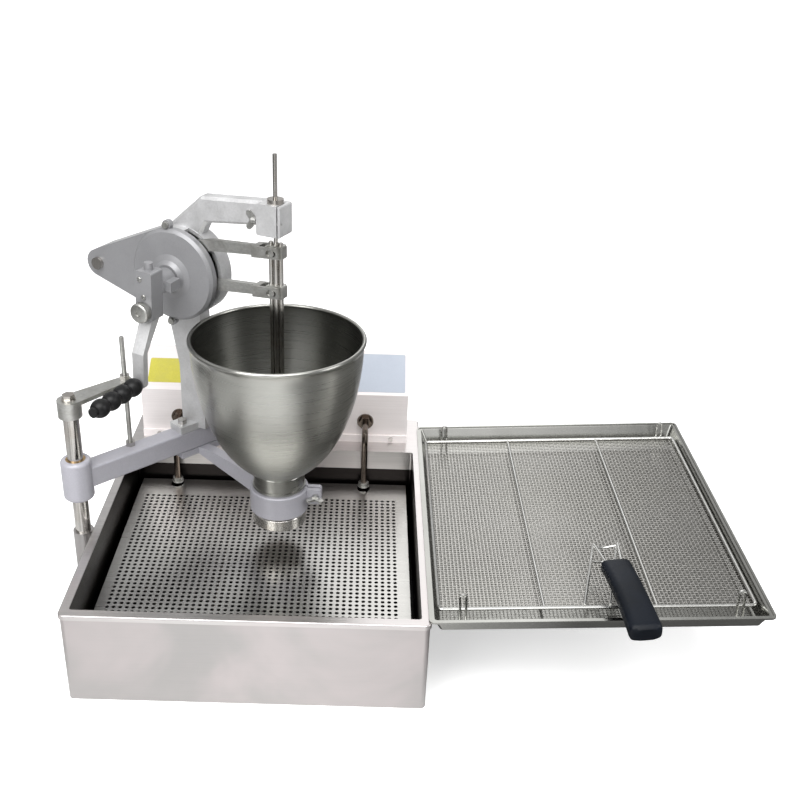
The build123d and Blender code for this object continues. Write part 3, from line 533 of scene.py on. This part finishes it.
def yellow_film():
    """Yellow film of the left bare plate."""
    return finish(
        "yellow_film", (0.62, 0.57, 0.08), (0.54, 0.49, 0.06), rough=(0.4, 0.52), stretch=500,
        bump=(0.03, 0.0001), stain_and_reflection=((0.5, 0.46, 0.1), 0.5, 26.0), metallic=0.0)


def pale_film():
    """Pale blue film of the right bare plate."""
    return finish(
        "pale_film", (0.46, 0.5, 0.57), (0.43, 0.47, 0.54), rough=(0.3, 0.4), stretch=500,
        bump=(0.02, 0.0001), stain_and_reflection=((0.5, 0.54, 0.6), 0.5, 9.0), metallic=0.0)


def solid_finishes():
    """Finish of every solid that shows as it is."""
    return {
        sheet_steel(): ["fryer_case", "post_socket"],
        tank_steel(): ["oil_tank"],
        panel_steel(): ["control_box"],
        tray_steel(): ["drain_tray", "tray_brackets"],
        element_steel(): ["heating_element", "element_glands"],
        bright_steel(): [
            "post", "post_bolt", "height_nuts", "rod_nuts", "lever_pin", "head_bolts", "nozzle_cylinder",
            "guide_bush", "cam_shaft", "cutter_rod", "cutter_disc", "piston_rods", "piston",
            "upper_roller", "lower_roller", "box_screws",
        ],
        frame_steel(): ["screen_frame", "screen_loops"],
        lever_steel(): [
            "upper_lever", "lower_lever", "upper_crosshead", "lower_crosshead", "guide_wing_screw",
            "collar_wing_screw", "link_plate", "socket_bolts", "bracket_bolts", "cover_screws",
        ],
        cam_steel(): ["cam_front", "cam_rear"],
        arm_paint(): ["swing_arm", "collar_clamp"],
        cover_paint(): ["cam_cover", "crank_hub"],
        cast_paint(): ["head_casting", "crank_arm"],
        black_plastic(): [
            "grip_spindle", "switch_frame", "power_switch", "thermostat_knob", "thermostat_body",
        ],
        lamp_lens(): ["indicator_lamps"],
        bush_bronze(): ["arm_bush"],
    }


class MachineSizes(bpy.types.PropertyGroup):
    """Sizes and counts of the fine pieces"""

    hole_pitch: FloatProperty(
        name="Hole pitch", description="Spacing of the plate's holes", default=0.009, unit="LENGTH")
    hole_width: FloatProperty(
        name="Hole width", description="Diameter of the plate's holes", default=0.0056, unit="LENGTH")
    hole_columns: IntProperty(name="Hole columns", description="Holes across the plate", default=45)
    hole_rows: IntProperty(name="Hole rows", description="Holes from front to rear", default=40)
    net_pitch: FloatProperty(
        name="Net pitch", description="Spacing of the screen's woven wires", default=0.005, unit="LENGTH")
    net_wire: FloatProperty(
        name="Net wire", description="Diameter of the screen's woven wires", default=0.001, unit="LENGTH")
    thread_pitch: FloatProperty(
        name="Thread pitch", description="Rise of the height rod's thread in a turn",
        default=0.0015, unit="LENGTH")
    grip_beads: IntProperty(name="Grip beads", description="Beads along the crank's grip", default=4)
    knurls: IntProperty(name="Knurls", description="Ridges round the stroke knob", default=44)


class MachineColours(bpy.types.PropertyGroup):
    """Colours of the main finishes"""

    sheet_steel: FloatVectorProperty(
        name="Sheet steel", description="Fryer",
        default=(0.64, 0.62, 0.61), subtype="COLOR", min=0, max=1)
    plate_steel: FloatVectorProperty(
        name="Plate steel", description="Perforated plate",
        default=(0.565, 0.56, 0.54), subtype="COLOR", min=0, max=1)
    # Painted reflection: a warm tint in soft patches on the sheet of the fryer and the tank.
    warm_reflection_tint: FloatVectorProperty(
        name="Warm reflection tint", description="Soft tint on the fryer's sheet",
        default=(0.6, 0.54, 0.54), subtype="COLOR", min=0, max=1)
    hopper_steel: FloatVectorProperty(
        name="Hopper steel", description="Brushed hopper",
        default=(0.44, 0.44, 0.412), subtype="COLOR", min=0, max=1)
    bright_steel: FloatVectorProperty(
        name="Bright steel", description="Post, rods and nuts",
        default=(0.58, 0.565, 0.54), subtype="COLOR", min=0, max=1)
    lever_steel: FloatVectorProperty(
        name="Lever steel", description="Bare levers and link",
        default=(0.64, 0.64, 0.615), subtype="COLOR", min=0, max=1)
    arm_paint: FloatVectorProperty(
        name="Arm paint", description="Swing arm and collar",
        default=(0.45, 0.445, 0.49), subtype="COLOR", min=0, max=1)
    cover_paint: FloatVectorProperty(
        name="Cover paint", description="Cam cover",
        default=(0.29, 0.29, 0.3), subtype="COLOR", min=0, max=1)
    cast_paint: FloatVectorProperty(
        name="Casting paint", description="Head casting and crank",
        default=(0.66, 0.66, 0.665), subtype="COLOR", min=0, max=1)
    handle_navy: FloatVectorProperty(
        name="Handle", description="Screen handle",
        default=(0.003, 0.0048, 0.0085), subtype="COLOR", min=0, max=1)


class StageSettings(bpy.types.PropertyGroup):
    """Floor, lights and lens"""

    floor_colour: FloatVectorProperty(
        name="Floor", description="Pale studio floor",
        default=(0.9, 0.9, 0.9), subtype="COLOR", min=0, max=1)
    sky_power: FloatProperty(name="Sky", description="Strength of the graded sky", default=1.14)
    key_power: FloatProperty(
        name="Key light", description="Power of the top light", default=54.0, unit="POWER")
    fill_power: FloatProperty(
        name="Fill light", description="Power of the front light", default=34.0, unit="POWER")
    lens: FloatProperty(
        name="Lens", description="Focal length of the camera",
        default=47.62, unit="CAMERA", subtype="DISTANCE_CAMERA")


# Steps along each side of a hole's cell; the hole itself has as many to each side.
SIDE_STEPS = 3


def oblong(x0, x1, y0, y1, across, along):
    """Edge of an oblong in equal steps, anticlockwise from its front left corner."""
    xs = np.linspace(x0, x1, across + 1)
    ys = np.linspace(y0, y1, along + 1)
    return np.concatenate([
        np.c_[xs[:-1], np.full(across, y0)], np.c_[np.full(along, x1), ys[:-1]],
        np.c_[xs[:0:-1], np.full(across, y1)], np.c_[np.full(along, x0), ys[:0:-1]],
    ])


def sheet_rows(first, second):
    """Rows of points over the plate's top from one flat line to another, and back on its underside."""
    lines = (first, PLATE_TOP), (second, PLATE_TOP), (second, PLATE_LOW), (first, PLATE_LOW)
    return np.concatenate([np.c_[line, np.full(len(line), height)] for line, height in lines])


def hole_cell(pitch, width):
    """Square cell round one hole: its edge in equal steps, and a hole with a corner for each of them."""
    half, first_corner = pitch / 2, np.radians(-135)
    edge = oblong(-half, half, -half, half, SIDE_STEPS, SIDE_STEPS)
    t = first_corner + circle(len(edge))
    hole = np.stack([np.cos(t), np.sin(t)], -1) * width / 2
    return sheet_rows(edge, hole)


def plate_edge(inner):
    """Outer edge matched point by point to the field's edge; its rear dips into a slot at each leg."""
    radius, depth, arc_points = 0.01, 0.024, 9
    x0, x1 = inner[:, 0].min(), inner[:, 0].max()
    y0, y1 = inner[:, 1].min(), inner[:, 1].max()
    outer = np.empty_like(inner)
    outer[:, 0] = np.interp(inner[:, 0], (x0, x1), (-PLATE_HALF_WIDTH, PLATE_HALF_WIDTH))
    outer[:, 1] = np.interp(inner[:, 1], (y0, y1), (PLATE_FRONT, PLATE_REAR))
    at_rear = np.flatnonzero(np.isclose(inner[:, 1], y1))
    theta = np.linspace(0, np.pi, arc_points)
    bottom = PLATE_REAR - depth + radius
    for centre in ELEMENT_LEGS_X:
        nearest = at_rear[np.argmin(np.abs(outer[at_rear, 0] - centre))]
        spots = nearest - (arc_points + 1) // 2 + np.arange(arc_points + 2)
        dip = np.stack([centre + radius * np.cos(theta), bottom - radius * np.sin(theta)], -1)
        lips = np.array([[centre + radius, PLATE_REAR], [centre - radius, PLATE_REAR]])
        outer[spots] = np.concatenate([lips[:1], dip, lips[1:]])
    return outer


def folded_legs():
    """Legs of the plate: flat strips up from the tank's floor, two in front and two behind."""
    floor, sheet, half_width, apart = 0.0156, PLATE_TOP - PLATE_LOW, 0.018, 0.1865
    x = np.array([-apart, apart])
    y = np.array([[PLATE_FRONT, PLATE_FRONT + sheet], [PLATE_REAR - sheet, PLATE_REAR]])
    corner_x = half_width * np.array([-1, 1, 1, -1])
    at_rear = np.array([False, False, True, True])
    leg = np.empty((2, 2, 2, 4, 3))
    leg[..., 0] = x[:, None, None, None] + corner_x
    leg[..., 1] = np.where(at_rear, y[None, :, None, 1:], y[None, :, None, :1])
    leg[..., 2] = np.array([floor, PLATE_LOW])[None, None, :, None]
    return skins(leg.reshape(4, 2, 4, 3))


class MACHINE_OT_plate(bpy.types.Operator):
    """Perforated plate: square cells with a round hole each, a margin out to the edge, and folded legs"""

    bl_idname = "machine.plate"
    bl_label = "Perforated plate"

    def execute(self, context):
        s = context.scene.machine_sizes
        first_column, first_row, join_distance = -0.2002, 0.1045, 3e-6
        column = first_column + s.hole_pitch * np.arange(s.hole_columns)
        row = first_row - s.hole_pitch * np.arange(s.hole_rows)
        spots = np.stack(np.meshgrid(column, row), -1).reshape(-1, 2)
        cell = hole_cell(s.hole_pitch, s.hole_width)
        points = (cell[None] + np.c_[spots, np.zeros(len(spots))][:, None]).reshape(-1, 3)
        start = len(cell) * np.arange(len(spots))[:, None, None]
        faces = (grid_faces(4, len(cell) // 4, False, True)[None] + start).reshape(-1, 4)

        half = s.hole_pitch / 2
        inner = oblong(
            column[0] - half, column[-1] + half, row[-1] - half, row[0] + half,
            SIDE_STEPS * s.hole_columns, SIDE_STEPS * s.hole_rows)
        faces = np.concatenate([faces, grid_faces(4, len(inner), False, True) + len(points)])
        points = np.concatenate([points, sheet_rows(inner, plate_edge(inner))])
        steel = plate_steel()
        sheet = new_piece("perforated_sheet", points, faces, steel, smooth=False, weld=join_distance)
        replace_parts(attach(sheet, "fryer"), "perforated_plate")

        legs = new_piece("plate_legs", *folded_legs(), steel, smooth=False)
        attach(legs, "fryer")
        return {"FINISHED"}


class MACHINE_OT_net(bpy.types.Operator):
    """Woven net: wires both ways, each a square tube that goes over and under its neighbours in turn"""

    bl_idname = "machine.net"
    bl_label = "Screen net"

    def execute(self, context):
        s = context.scene.machine_sizes
        left, right, level, inset, weave = 0.014, 0.424, -0.0088, 0.001, 0.3
        xs = np.linspace(left + inset, right - inset, round((right - left) / s.net_pitch))
        ys = np.linspace(
            SCREEN_FRONT + inset, SCREEN_REAR - inset, round((SCREEN_REAR - SCREEN_FRONT) / s.net_pitch))
        r = s.net_wire / 2
        over = (np.arange(len(xs))[:, None] + np.arange(len(ys))) % 2
        wave = np.where(over, r, -r) * weave
        square = r * np.array([[-1, -1], [1, -1], [1, 1], [-1, 1]])
        along_y = np.empty((len(xs), len(ys), 4, 3))
        along_y[..., 0] = xs[:, None, None] + square[:, 0]
        along_y[..., 1] = ys[None, :, None]
        along_y[..., 2] = level + wave[..., None] + square[:, 1]
        along_x = np.empty((len(ys), len(xs), 4, 3))
        along_x[..., 0] = xs[None, :, None]
        along_x[..., 1] = ys[:, None, None] + square[:, 0]
        along_x[..., 2] = level - wave.T[..., None] + square[:, 1]
        points, faces = joined([skins(along_y), skins(along_x)])
        net = new_piece("woven_net", moved(points, TRAY), faces, wire_steel(), smooth=False)
        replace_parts(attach(net, "screen"), "screen_mesh")
        return {"FINISHED"}


class MACHINE_OT_hopper(bpy.types.Operator):
    """Spun hopper: an elliptic wall, a rolled bead and the same wall inside, turned about its axis"""

    bl_idname = "machine.hopper"
    bl_label = "Hopper"

    def execute(self, context):
        rim, level, drop, wall = 0.1206, 0.4094, 0.2187, 0.0015
        neck, neck_end, neck_top = 0.037, 0.134, 0.19
        bead_radius, bead_lap = 0.003, 0.9
        steps, wall_rows, bead_rows, outer_bead_rows = 144, 40, 17, 12

        def bowl(inset):
            wide, base = rim - inset, neck - inset
            angle = math.acos(base / wide) * (1 - np.linspace(0, 1, wall_rows))
            return np.stack([wide * np.cos(angle), level - drop * np.sin(angle)], -1)

        outside, inside = bowl(0.0), bowl(wall)
        t = np.linspace(-bead_lap, np.pi + bead_lap, bead_rows)
        bead = np.stack([rim + bead_radius * np.cos(t), level + bead_radius * np.sin(t)], -1)
        # The neck's outside from below: plain tube, rolled ring, sleeve and collar.
        band = np.array([
            [neck, neck_end], [neck, 0.176], [0.0388, 0.1765], [0.0392, 0.178], [0.0388, 0.1795],
            [0.0376, 0.18], [0.0376, 0.197], [0.0386, 0.1978], [0.0386, 0.2005], [0.0378, 0.2015],
        ])
        bore = [[neck - wall, neck_top], [neck - wall, neck_end]]
        profile = np.concatenate([band, outside[1:-1], bead, inside[-2::-1], bore])
        points, faces = lathe(profile, steps)
        length = np.r_[0, np.cumsum(np.linalg.norm(np.diff(profile, axis=0), axis=1))]
        around = np.abs(np.linspace(-1, 1, steps, endpoint=False))
        uv = np.stack([np.tile(around, len(profile)), np.repeat(length, steps)], -1)
        steel = hopper_steel("hopper_steel", 1.0)
        bowl_piece = new_piece("spun_hopper", moved(points, HEAD), faces, steel, uv=uv)

        # The lining starts on the last rows of the bead, which face into the bowl, and takes the same steel
        # at 0.62 of its colour as painted shade.
        lining_row = len(band) + len(outside[1:-1]) + outer_bead_rows
        bowl_piece.data.materials.append(hopper_steel("hopper_inside_painted_shade", 0.62))
        lined = np.arange(len(faces)) // steps >= lining_row
        bowl_piece.data.polygons.foreach_set("material_index", lined.astype(np.int32))
        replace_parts(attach(bowl_piece, "head"), "hopper")
        return {"FINISHED"}


def across_head(points, spot):
    """Lays a surface made about its own upright axis along the head's cross axis, at (x, z) of the head."""
    x, z = spot
    laid = np.stack([x + points[:, 0], points[:, 2], z + points[:, 1]], -1)
    return moved(laid, HEAD)


class MACHINE_OT_crank_pieces(bpy.types.Operator):
    """Crank pieces: a bead grip whose radius follows a power of a sine, and a knob with a ridged rim"""

    bl_idname = "machine.crank_pieces"
    bl_label = "Crank grip and knob"

    def execute(self, context):
        s = context.scene.machine_sizes
        grip_spot, front, length, bore = (-0.164, 0.3442), -0.196, 0.0935, 0.00405
        waist, swell, fullness, bead_rows = 0.0074, 0.0056, 0.6, 14
        bead = np.linspace(0, s.grip_beads, s.grip_beads * bead_rows + 1)
        r = waist + swell * np.abs(np.sin(np.pi * bead)) ** fullness
        h = front + bead * length / s.grip_beads
        profile = np.concatenate([[[bore, front]], np.stack([r, h], -1), [[bore, front + length]]])
        points, faces = lathe(profile, steps=48)
        grip = new_piece("bead_grip", across_head(points, grip_spot), faces, black_plastic())
        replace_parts(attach(grip, "grip"), "crank_grip")

        knob_spot, centre, knob_radius, ridge_depth = (-0.158567, 0.44804), 0.0001, 0.014, 0.035
        # The knob's outside from its sunk middle to the end of its stem.
        profile = np.array([
            [centre, -0.0958], [0.0035, -0.0958], [0.004, -0.0972], [0.0112, -0.0972], [0.0126, -0.0966],
            [knob_radius, -0.0954], [knob_radius, -0.0862], [0.0128, -0.0846], [0.003, -0.0846],
            [0.003, -0.0766], [centre, -0.0766],
        ])

        def ridge(t):
            return 1 - ridge_depth * np.abs(np.sin(t * s.knurls / 2))

        points, faces = lathe(profile, s.knurls * 4, (ridge, profile[:, 0] == knob_radius))
        knob = new_piece("knurled_knob", across_head(points, knob_spot), faces, lever_steel())
        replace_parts(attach(knob, "stroke_knob"), "crank_knob")
        return {"FINISHED"}


class MACHINE_OT_hub_screws(bpy.types.Operator):
    """Hub screws: a round head with a sunk middle, turned about its own axis and set on the hub's face"""

    bl_idname = "machine.hub_screws"
    bl_label = "Crank hub screws"

    def execute(self, context):
        face, centre, socket, crown, radius = -0.0841, 0.0001, 0.0018, 0.0031, 0.0036
        profile = np.array([
            [centre, face + 0.0002], [socket, face + 0.0002], [socket, face - 0.0016],
            [crown, face - 0.0016], [radius, face - 0.001], [radius, face + 0.0006],
            [centre, face + 0.0006],
        ])
        points, faces = lathe(profile, steps=24)
        for number, spot in enumerate(((-0.162, 0.4925), (-0.1575, 0.468))):
            head = new_piece(f"hub_screw_{number}", across_head(points, spot), faces, lever_steel())
            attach(head, "crank")
        return {"FINISHED"}


class MACHINE_OT_threads(bpy.types.Operator):
    """Height rod: a round rod whose radius follows a triangle wave along a helix"""

    bl_idname = "machine.threads"
    bl_label = "Height rod thread"

    def execute(self, context):
        radius, depth, end_radius, corners, turn_rows = 0.0035, 0.0004, 0.0027, 18, 4
        pitch = context.scene.machine_sizes.thread_pitch
        low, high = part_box("height_rod")
        t = circle(corners)
        z = np.arange(low.z, high.z, pitch / turn_rows)
        phase = (z[:, None] / pitch - t / (2 * np.pi)) % 1
        r = radius - depth * np.abs(2 * phase - 1)
        r[[0, 1, -2, -1]] = end_radius
        centre = (low + high) / 2
        upright = np.repeat(z[:, None], corners, 1)
        rows = np.stack([centre.x + r * np.cos(t), centre.y + r * np.sin(t), upright], -1)
        rod = new_piece("threaded_rod", *skins(rows[None]), lever_steel())
        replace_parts(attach(rod, "head"), "height_rod")
        return {"FINISHED"}


GRIP_START = -0.044
GRIP = TRAY @ turned((0.2435, -0.146, 0.029), 2, math.radians(5.4))


def shaped_grip():
    """Rounded oblong carried forwards: it narrows at the middle, droops, and draws in over its two ends."""
    length, end_share, end_size = 0.138, 0.05, 0.7
    stations, corners = 40, 36
    s = np.linspace(0, 1, stations)
    near_end = np.clip(np.minimum(s / end_share, (1 - s) / end_share), 0, 1)
    fade = np.sqrt(1 - (1 - near_end) ** 2) * (1 - end_size) + end_size
    half_wide = (0.0197 - 0.004 * s * (1 - s) + 0.0013 * s) * fade
    half_high = (0.0095 + 0.0022 * s) * fade
    height = 0.003 * np.sin(np.pi * s) - 0.007 * s ** 2
    t = circle(corners)
    c, n = np.cos(t), np.sin(t)
    rows = np.empty((1, stations, corners, 3))
    rows[0, ..., 0] = half_wide[:, None] * np.sign(c) * np.abs(c) ** 0.5
    rows[0, ..., 1] = (GRIP_START - length * s)[:, None]
    rows[0, ..., 2] = height[:, None] + half_high[:, None] * np.sign(n) * np.abs(n) ** 0.55
    return skins(rows)


def handle_legs():
    """Corner points of the two bent wires, from inside the grip up and back down to the screen's frame."""
    in_grip, apart, bend_height, foot_x, foot_z = 0.01, 0.0165, 0.003, 0.219, -0.0011
    legs = []
    for side in (-1, 1):
        upper = moved(np.array([
            (in_grip * side, -0.1, 0.002), (in_grip * side, GRIP_START, 0.0),
            (apart * side, 0.0, bend_height),
        ]), GRIP)
        foot = moved(np.array([(foot_x + apart * side, SCREEN_FRONT, foot_z)]), TRAY)
        legs.append(np.concatenate([upper, foot]))
    return legs


class MACHINE_OT_handle(bpy.types.Operator):
    """Screen handle: a shaped grip on two bent wires, which two sagging cross wires tie together"""

    bl_idname = "machine.handle"
    bl_label = "Screen handle"

    def execute(self, context):
        points, faces = shaped_grip()
        grip = new_piece("shaped_handle", moved(points, GRIP), faces, navy_plastic())
        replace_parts(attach(grip, "screen"), "handle_grip")

        bend, leg_radius, tie_radius, sag = 0.006, 0.0021, 0.0017, 0.003
        legs = handle_legs()
        wires = [wire(rounded_path(leg, bend), leg_radius) for leg in legs]
        for share in (0.06, 0.3):
            left, right = (leg[2] * (1 - share) + leg[3] * share for leg in legs)
            middle = (left + right) / 2 - (0, 0, sag)
            wires.append(wire(rounded_path([left, middle, right], bend), tie_radius))
        bent = new_piece("handle_bends", *joined(wires), frame_steel())
        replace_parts(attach(bent, "screen"), "handle_wires")
        return {"FINISHED"}


class MACHINE_OT_plates(bpy.types.Operator):
    """Bare plates on the sloped panel: a flat oblong with rounded corners and an eased edge"""

    bl_idname = "machine.plates"
    bl_label = "Panel plates"

    def execute(self, context):
        corner_radius, corners = 0.003, 32
        heights, sizes = np.array([0.0, 0.0004, 0.0006]), np.array([1.0, 1.0, 0.994])
        t = circle(corners)
        c, n = np.cos(t), np.sin(t)
        for name, x0, x1, y0, y1, film in (
            ("yellow_plate", -0.211, -0.154, 0.014, 0.062, yellow_film()),
            ("pale_plate", 0.098, 0.211, 0.006, 0.082, pale_film()),
        ):
            wide, deep = (x1 - x0) / 2 - corner_radius, (y1 - y0) / 2 - corner_radius
            outline = np.stack([
                np.sign(c) * wide + corner_radius * c, np.sign(n) * deep + corner_radius * n,
            ], -1)
            rows = np.empty((1, len(heights), corners, 3))
            rows[0, :, :, :2] = outline * sizes[:, None, None]
            rows[0, ..., 2] = heights[:, None]
            rows[0] += ((x0 + x1) / 2, (y0 + y1) / 2, 0)
            points, faces = skins(rows)
            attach(new_piece(name, moved(points, PANEL), faces, film, smooth=False), "fryer")
        return {"FINISHED"}


class MACHINE_OT_collars(bpy.types.Operator):
    """Element collars: a ring and a six-sided nut round each leg of the heating element, above the plate"""

    bl_idname = "machine.collars"
    bl_label = "Element collars"

    def execute(self, context):
        bore, nut_radius, nut_low, nut_top = 0.0051, 0.0085, 0.0828, 0.089
        ring = np.array([
            [bore, 0.0812], [0.0098, 0.0812], [0.0102, 0.0818], [0.0098, 0.0826], [bore, 0.0826],
        ])
        nut = np.array([[bore, nut_low], [nut_radius, nut_low], [nut_radius, nut_top], [bore, nut_top]])
        collar, faces = joined([lathe(ring, steps=40), lathe(nut, steps=6)])
        for name, x in zip(("collar_left", "collar_right"), ELEMENT_LEGS_X):
            points = collar + (x, ELEMENT_LEGS_Y, 0)
            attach(new_piece(name, points, faces, lever_steel()), "fryer")
        return {"FINISHED"}


class MACHINE_OT_finishes(bpy.types.Operator):
    """Finishes of the solids that show as they are"""

    bl_idname = "machine.finishes"
    bl_label = "Solid finishes"

    def execute(self, context):
        dressed = set()
        for material, names in solid_finishes().items():
            for name in names:
                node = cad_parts[name]
                if node.material_slots:
                    for slot in node.material_slots:
                        slot.material = material
                else:
                    node.data.materials.append(material)
                dressed.add(name)
        bare = [n for n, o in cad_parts.items() if n not in dressed and not o.hide_render]
        if bare:
            raise RuntimeError(f"no finish for {bare}")
        return {"FINISHED"}


def shade_ramp(tree, source, low, high, stops):
    """Greys along a socket's value, with a stop for each (value, shade) between low and high."""
    share = add(tree, "ShaderNodeMapRange", From_Min=low, From_Max=high)
    node = add(tree, "ShaderNodeValToRGB")
    ramp = node.color_ramp.elements
    for _ in stops[2:]:
        ramp.new(0.5)
    for stop, (at, shade) in zip(ramp, stops):
        stop.position = (at - low) / (high - low)
        stop.color = (shade, shade, shade, 1)
    tree.links.new(source, share.inputs[0])
    tree.links.new(share.outputs[0], node.inputs[0])
    return node.outputs[0]


def floor_paint(colour):
    """Pale floor that mirrors show in bands of shade along x, as the walls of a room would."""
    reach = 1.5
    bands = (
        (-1.5, 0.2), (-0.95, 0.3), (-0.75, 0.6), (-0.58, 0.35), (-0.46, 0.75), (-0.36, 0.5), (-0.27, 0.8),
        (0.05, 0.88), (0.24, 0.8), (0.34, 0.45), (0.45, 0.18), (0.9, 0.12), (1.3, 0.4),
    )
    material = bpy.data.materials.new("floor_paint")
    material.use_nodes = True
    tree = material.node_tree
    link = tree.links.new
    base = tree.nodes["Principled BSDF"]
    base.inputs["Roughness"].default_value = 0.8
    base.inputs["Specular IOR Level"].default_value = 0.1
    base.inputs["Emission Strength"].default_value = 0.5
    across = axes(tree, "Object")[0]
    way = add(tree, "ShaderNodeLightPath")
    paint = colour_mix(tree, colour)
    glow = colour_mix(tree, (0, 0, 0), (1, 1, 1))
    link(way.outputs["Is Glossy Ray"], paint.inputs[SHARE])
    link(shade_ramp(tree, across, -reach, reach, bands), paint.inputs[COLOUR_B])
    link(way.outputs["Is Camera Ray"], glow.inputs[SHARE])
    link(paint.outputs[COLOUR], base.inputs["Base Color"])
    link(glow.outputs[COLOUR], base.inputs["Emission Color"])
    return material


def studio_floor(colour):
    """Flat square grid just under the machine."""
    reach, lines, sink = 12, 9, 0.0005
    side = np.linspace(-reach, reach, lines)
    x, y = np.meshgrid(side, side)
    points = np.stack([x, y, 0 * x - sink], -1).reshape(-1, 3)
    return new_piece("floor", points, grid_faces(lines, lines), floor_paint(colour), smooth=False)


def studio_sky(power):
    """Sky of greys by height times greys along x for light and reflections; white where it is seen."""
    by_height = ((0.0, 0.22), (0.45, 1.0), (0.7, 1.0), (1.0, 0.35))
    by_side = (
        (-1.0, 0.35), (-0.5, 0.75), (-0.2, 0.5), (-0.09, 0.7), (0.02, 2.2), (0.1, 2.2), (0.2, 0.85),
        (0.32, 0.45), (1.0, 0.4),
    )
    world = bpy.data.worlds.new("studio")
    world.use_nodes = True
    tree = world.node_tree
    link = tree.links.new
    sky = tree.nodes["Background"]
    sky.inputs["Strength"].default_value = power
    across, _, height = axes(tree, "Generated")
    both = add(tree, "ShaderNodeMath", operation="MULTIPLY")
    way = add(tree, "ShaderNodeLightPath")
    seen = colour_mix(tree, second=(1, 1, 1))
    link(shade_ramp(tree, height, 0.0, 1.0, by_height), both.inputs[0])
    link(shade_ramp(tree, across, -1.0, 1.0, by_side), both.inputs[1])
    link(way.outputs["Is Camera Ray"], seen.inputs[SHARE])
    link(both.outputs[0], seen.inputs[COLOUR_A])
    link(seen.outputs[COLOUR], sky.inputs["Color"])
    return world


def soft_light(name, spot, aim, size, power):
    """Oblong area light at a spot, turned to face its aim."""
    data = bpy.data.lights.new(name, "AREA")
    data.shape = "RECTANGLE"
    data.size, data.size_y = size
    data.energy = power
    lamp = bpy.data.objects.new(name, data)
    bpy.context.scene.collection.objects.link(lamp)
    back = np.subtract(spot, aim)
    back /= np.linalg.norm(back)
    side = np.cross((0, 1, 0) if abs(back[2]) > 0.95 else (0, 0, 1), back)
    side /= np.linalg.norm(side)
    lamp.matrix_world = Matrix(place(spot, side, np.cross(back, side), back).tolist())


def studio_camera(lens):
    """Camera at the viewing angle found from the plate's grid of holes: yaw, then pitch down, then roll."""
    spot = (0.1441, -1.3415, 0.997)
    yaw, pitch, roll = (math.radians(v) for v in (-0.09, 27.43, 1.58))
    ahead = np.array([math.sin(yaw) * math.cos(pitch), math.cos(yaw) * math.cos(pitch), -math.sin(pitch)])
    level = np.array([math.cos(yaw), -math.sin(yaw), 0.0])
    upright = np.cross(level, ahead)
    right = math.cos(roll) * level + math.sin(roll) * upright
    up = -math.sin(roll) * level + math.cos(roll) * upright
    data = bpy.data.cameras.new("camera")
    data.sensor_width, data.lens = 36.0, lens
    data.shift_x, data.shift_y = 0.047, 0.0115
    data.clip_start, data.clip_end = 0.05, 60
    camera = bpy.data.objects.new("camera", data)
    bpy.context.scene.collection.objects.link(camera)
    camera.matrix_world = Matrix(place(spot, right, up, -ahead).tolist())
    return camera


class MACHINE_OT_studio(bpy.types.Operator):
    """Pale floor, soft lights, a graded sky and the camera"""

    bl_idname = "machine.studio"
    bl_label = "Studio"

    def execute(self, context):
        s = context.scene.machine_stage
        floor = studio_floor(s.floor_colour)
        context.scene.world = studio_sky(s.sky_power)
        context.scene.view_settings.view_transform = "Standard"
        soft_light("key", (0.0, -0.95, 2.4), (0.1, 0.0, 0.2), (2.4, 1.5), s.key_power)
        soft_light("front", (-1.4, -2.3, 1.9), (0.1, -0.1, 0.25), (1.6, 1.4), s.fill_power)
        soft_light("side", (2.4, -0.6, 1.5), (0.2, 0, 0.2), (1.0, 1.4), s.fill_power * 0.5)
        context.scene.camera = studio_camera(s.lens)
        return {"FINISHED"}


class MACHINE_PT_panel(bpy.types.Panel):
    """Lists the machine's pieces and settings"""

    bl_idname = "MACHINE_PT_panel"
    bl_label = "Doughnut machine"
    bl_space_type = "VIEW_3D"
    bl_region_type = "UI"
    bl_category = "Machine"

    def draw(self, context):
        scene = context.scene
        for settings in (scene.machine_sizes, scene.machine_colours, scene.machine_stage):
            box = self.layout.box()
            for name in settings.__annotations__:
                box.prop(settings, name)
        for operator in OPERATORS:
            self.layout.operator(operator.bl_idname)


OPERATORS = (
    MACHINE_OT_plate, MACHINE_OT_net, MACHINE_OT_hopper, MACHINE_OT_crank_pieces, MACHINE_OT_hub_screws,
    MACHINE_OT_threads, MACHINE_OT_handle, MACHINE_OT_plates, MACHINE_OT_collars, MACHINE_OT_finishes,
    MACHINE_OT_studio,
)
CLASSES = (MachineSizes, MachineColours, StageSettings, *OPERATORS, MACHINE_PT_panel)


def register():
    """Registers the classes and hangs the settings on the scene."""
    for cls in CLASSES:
        bpy.utils.register_class(cls)
    bpy.types.Scene.machine_sizes = PointerProperty(type=MachineSizes)
    bpy.types.Scene.machine_colours = PointerProperty(type=MachineColours)
    bpy.types.Scene.machine_stage = PointerProperty(type=StageSettings)


def unregister():
    """Takes the settings off the scene and drops the classes."""
    del bpy.types.Scene.machine_stage
    del bpy.types.Scene.machine_colours
    del bpy.types.Scene.machine_sizes
    for cls in reversed(CLASSES):
        bpy.utils.unregister_class(cls)


def main():
    register()
    for operator in OPERATORS:
        group, name = operator.bl_idname.split(".")
        getattr(getattr(bpy.ops, group), name)()


if __name__ == "__main__":
    main()
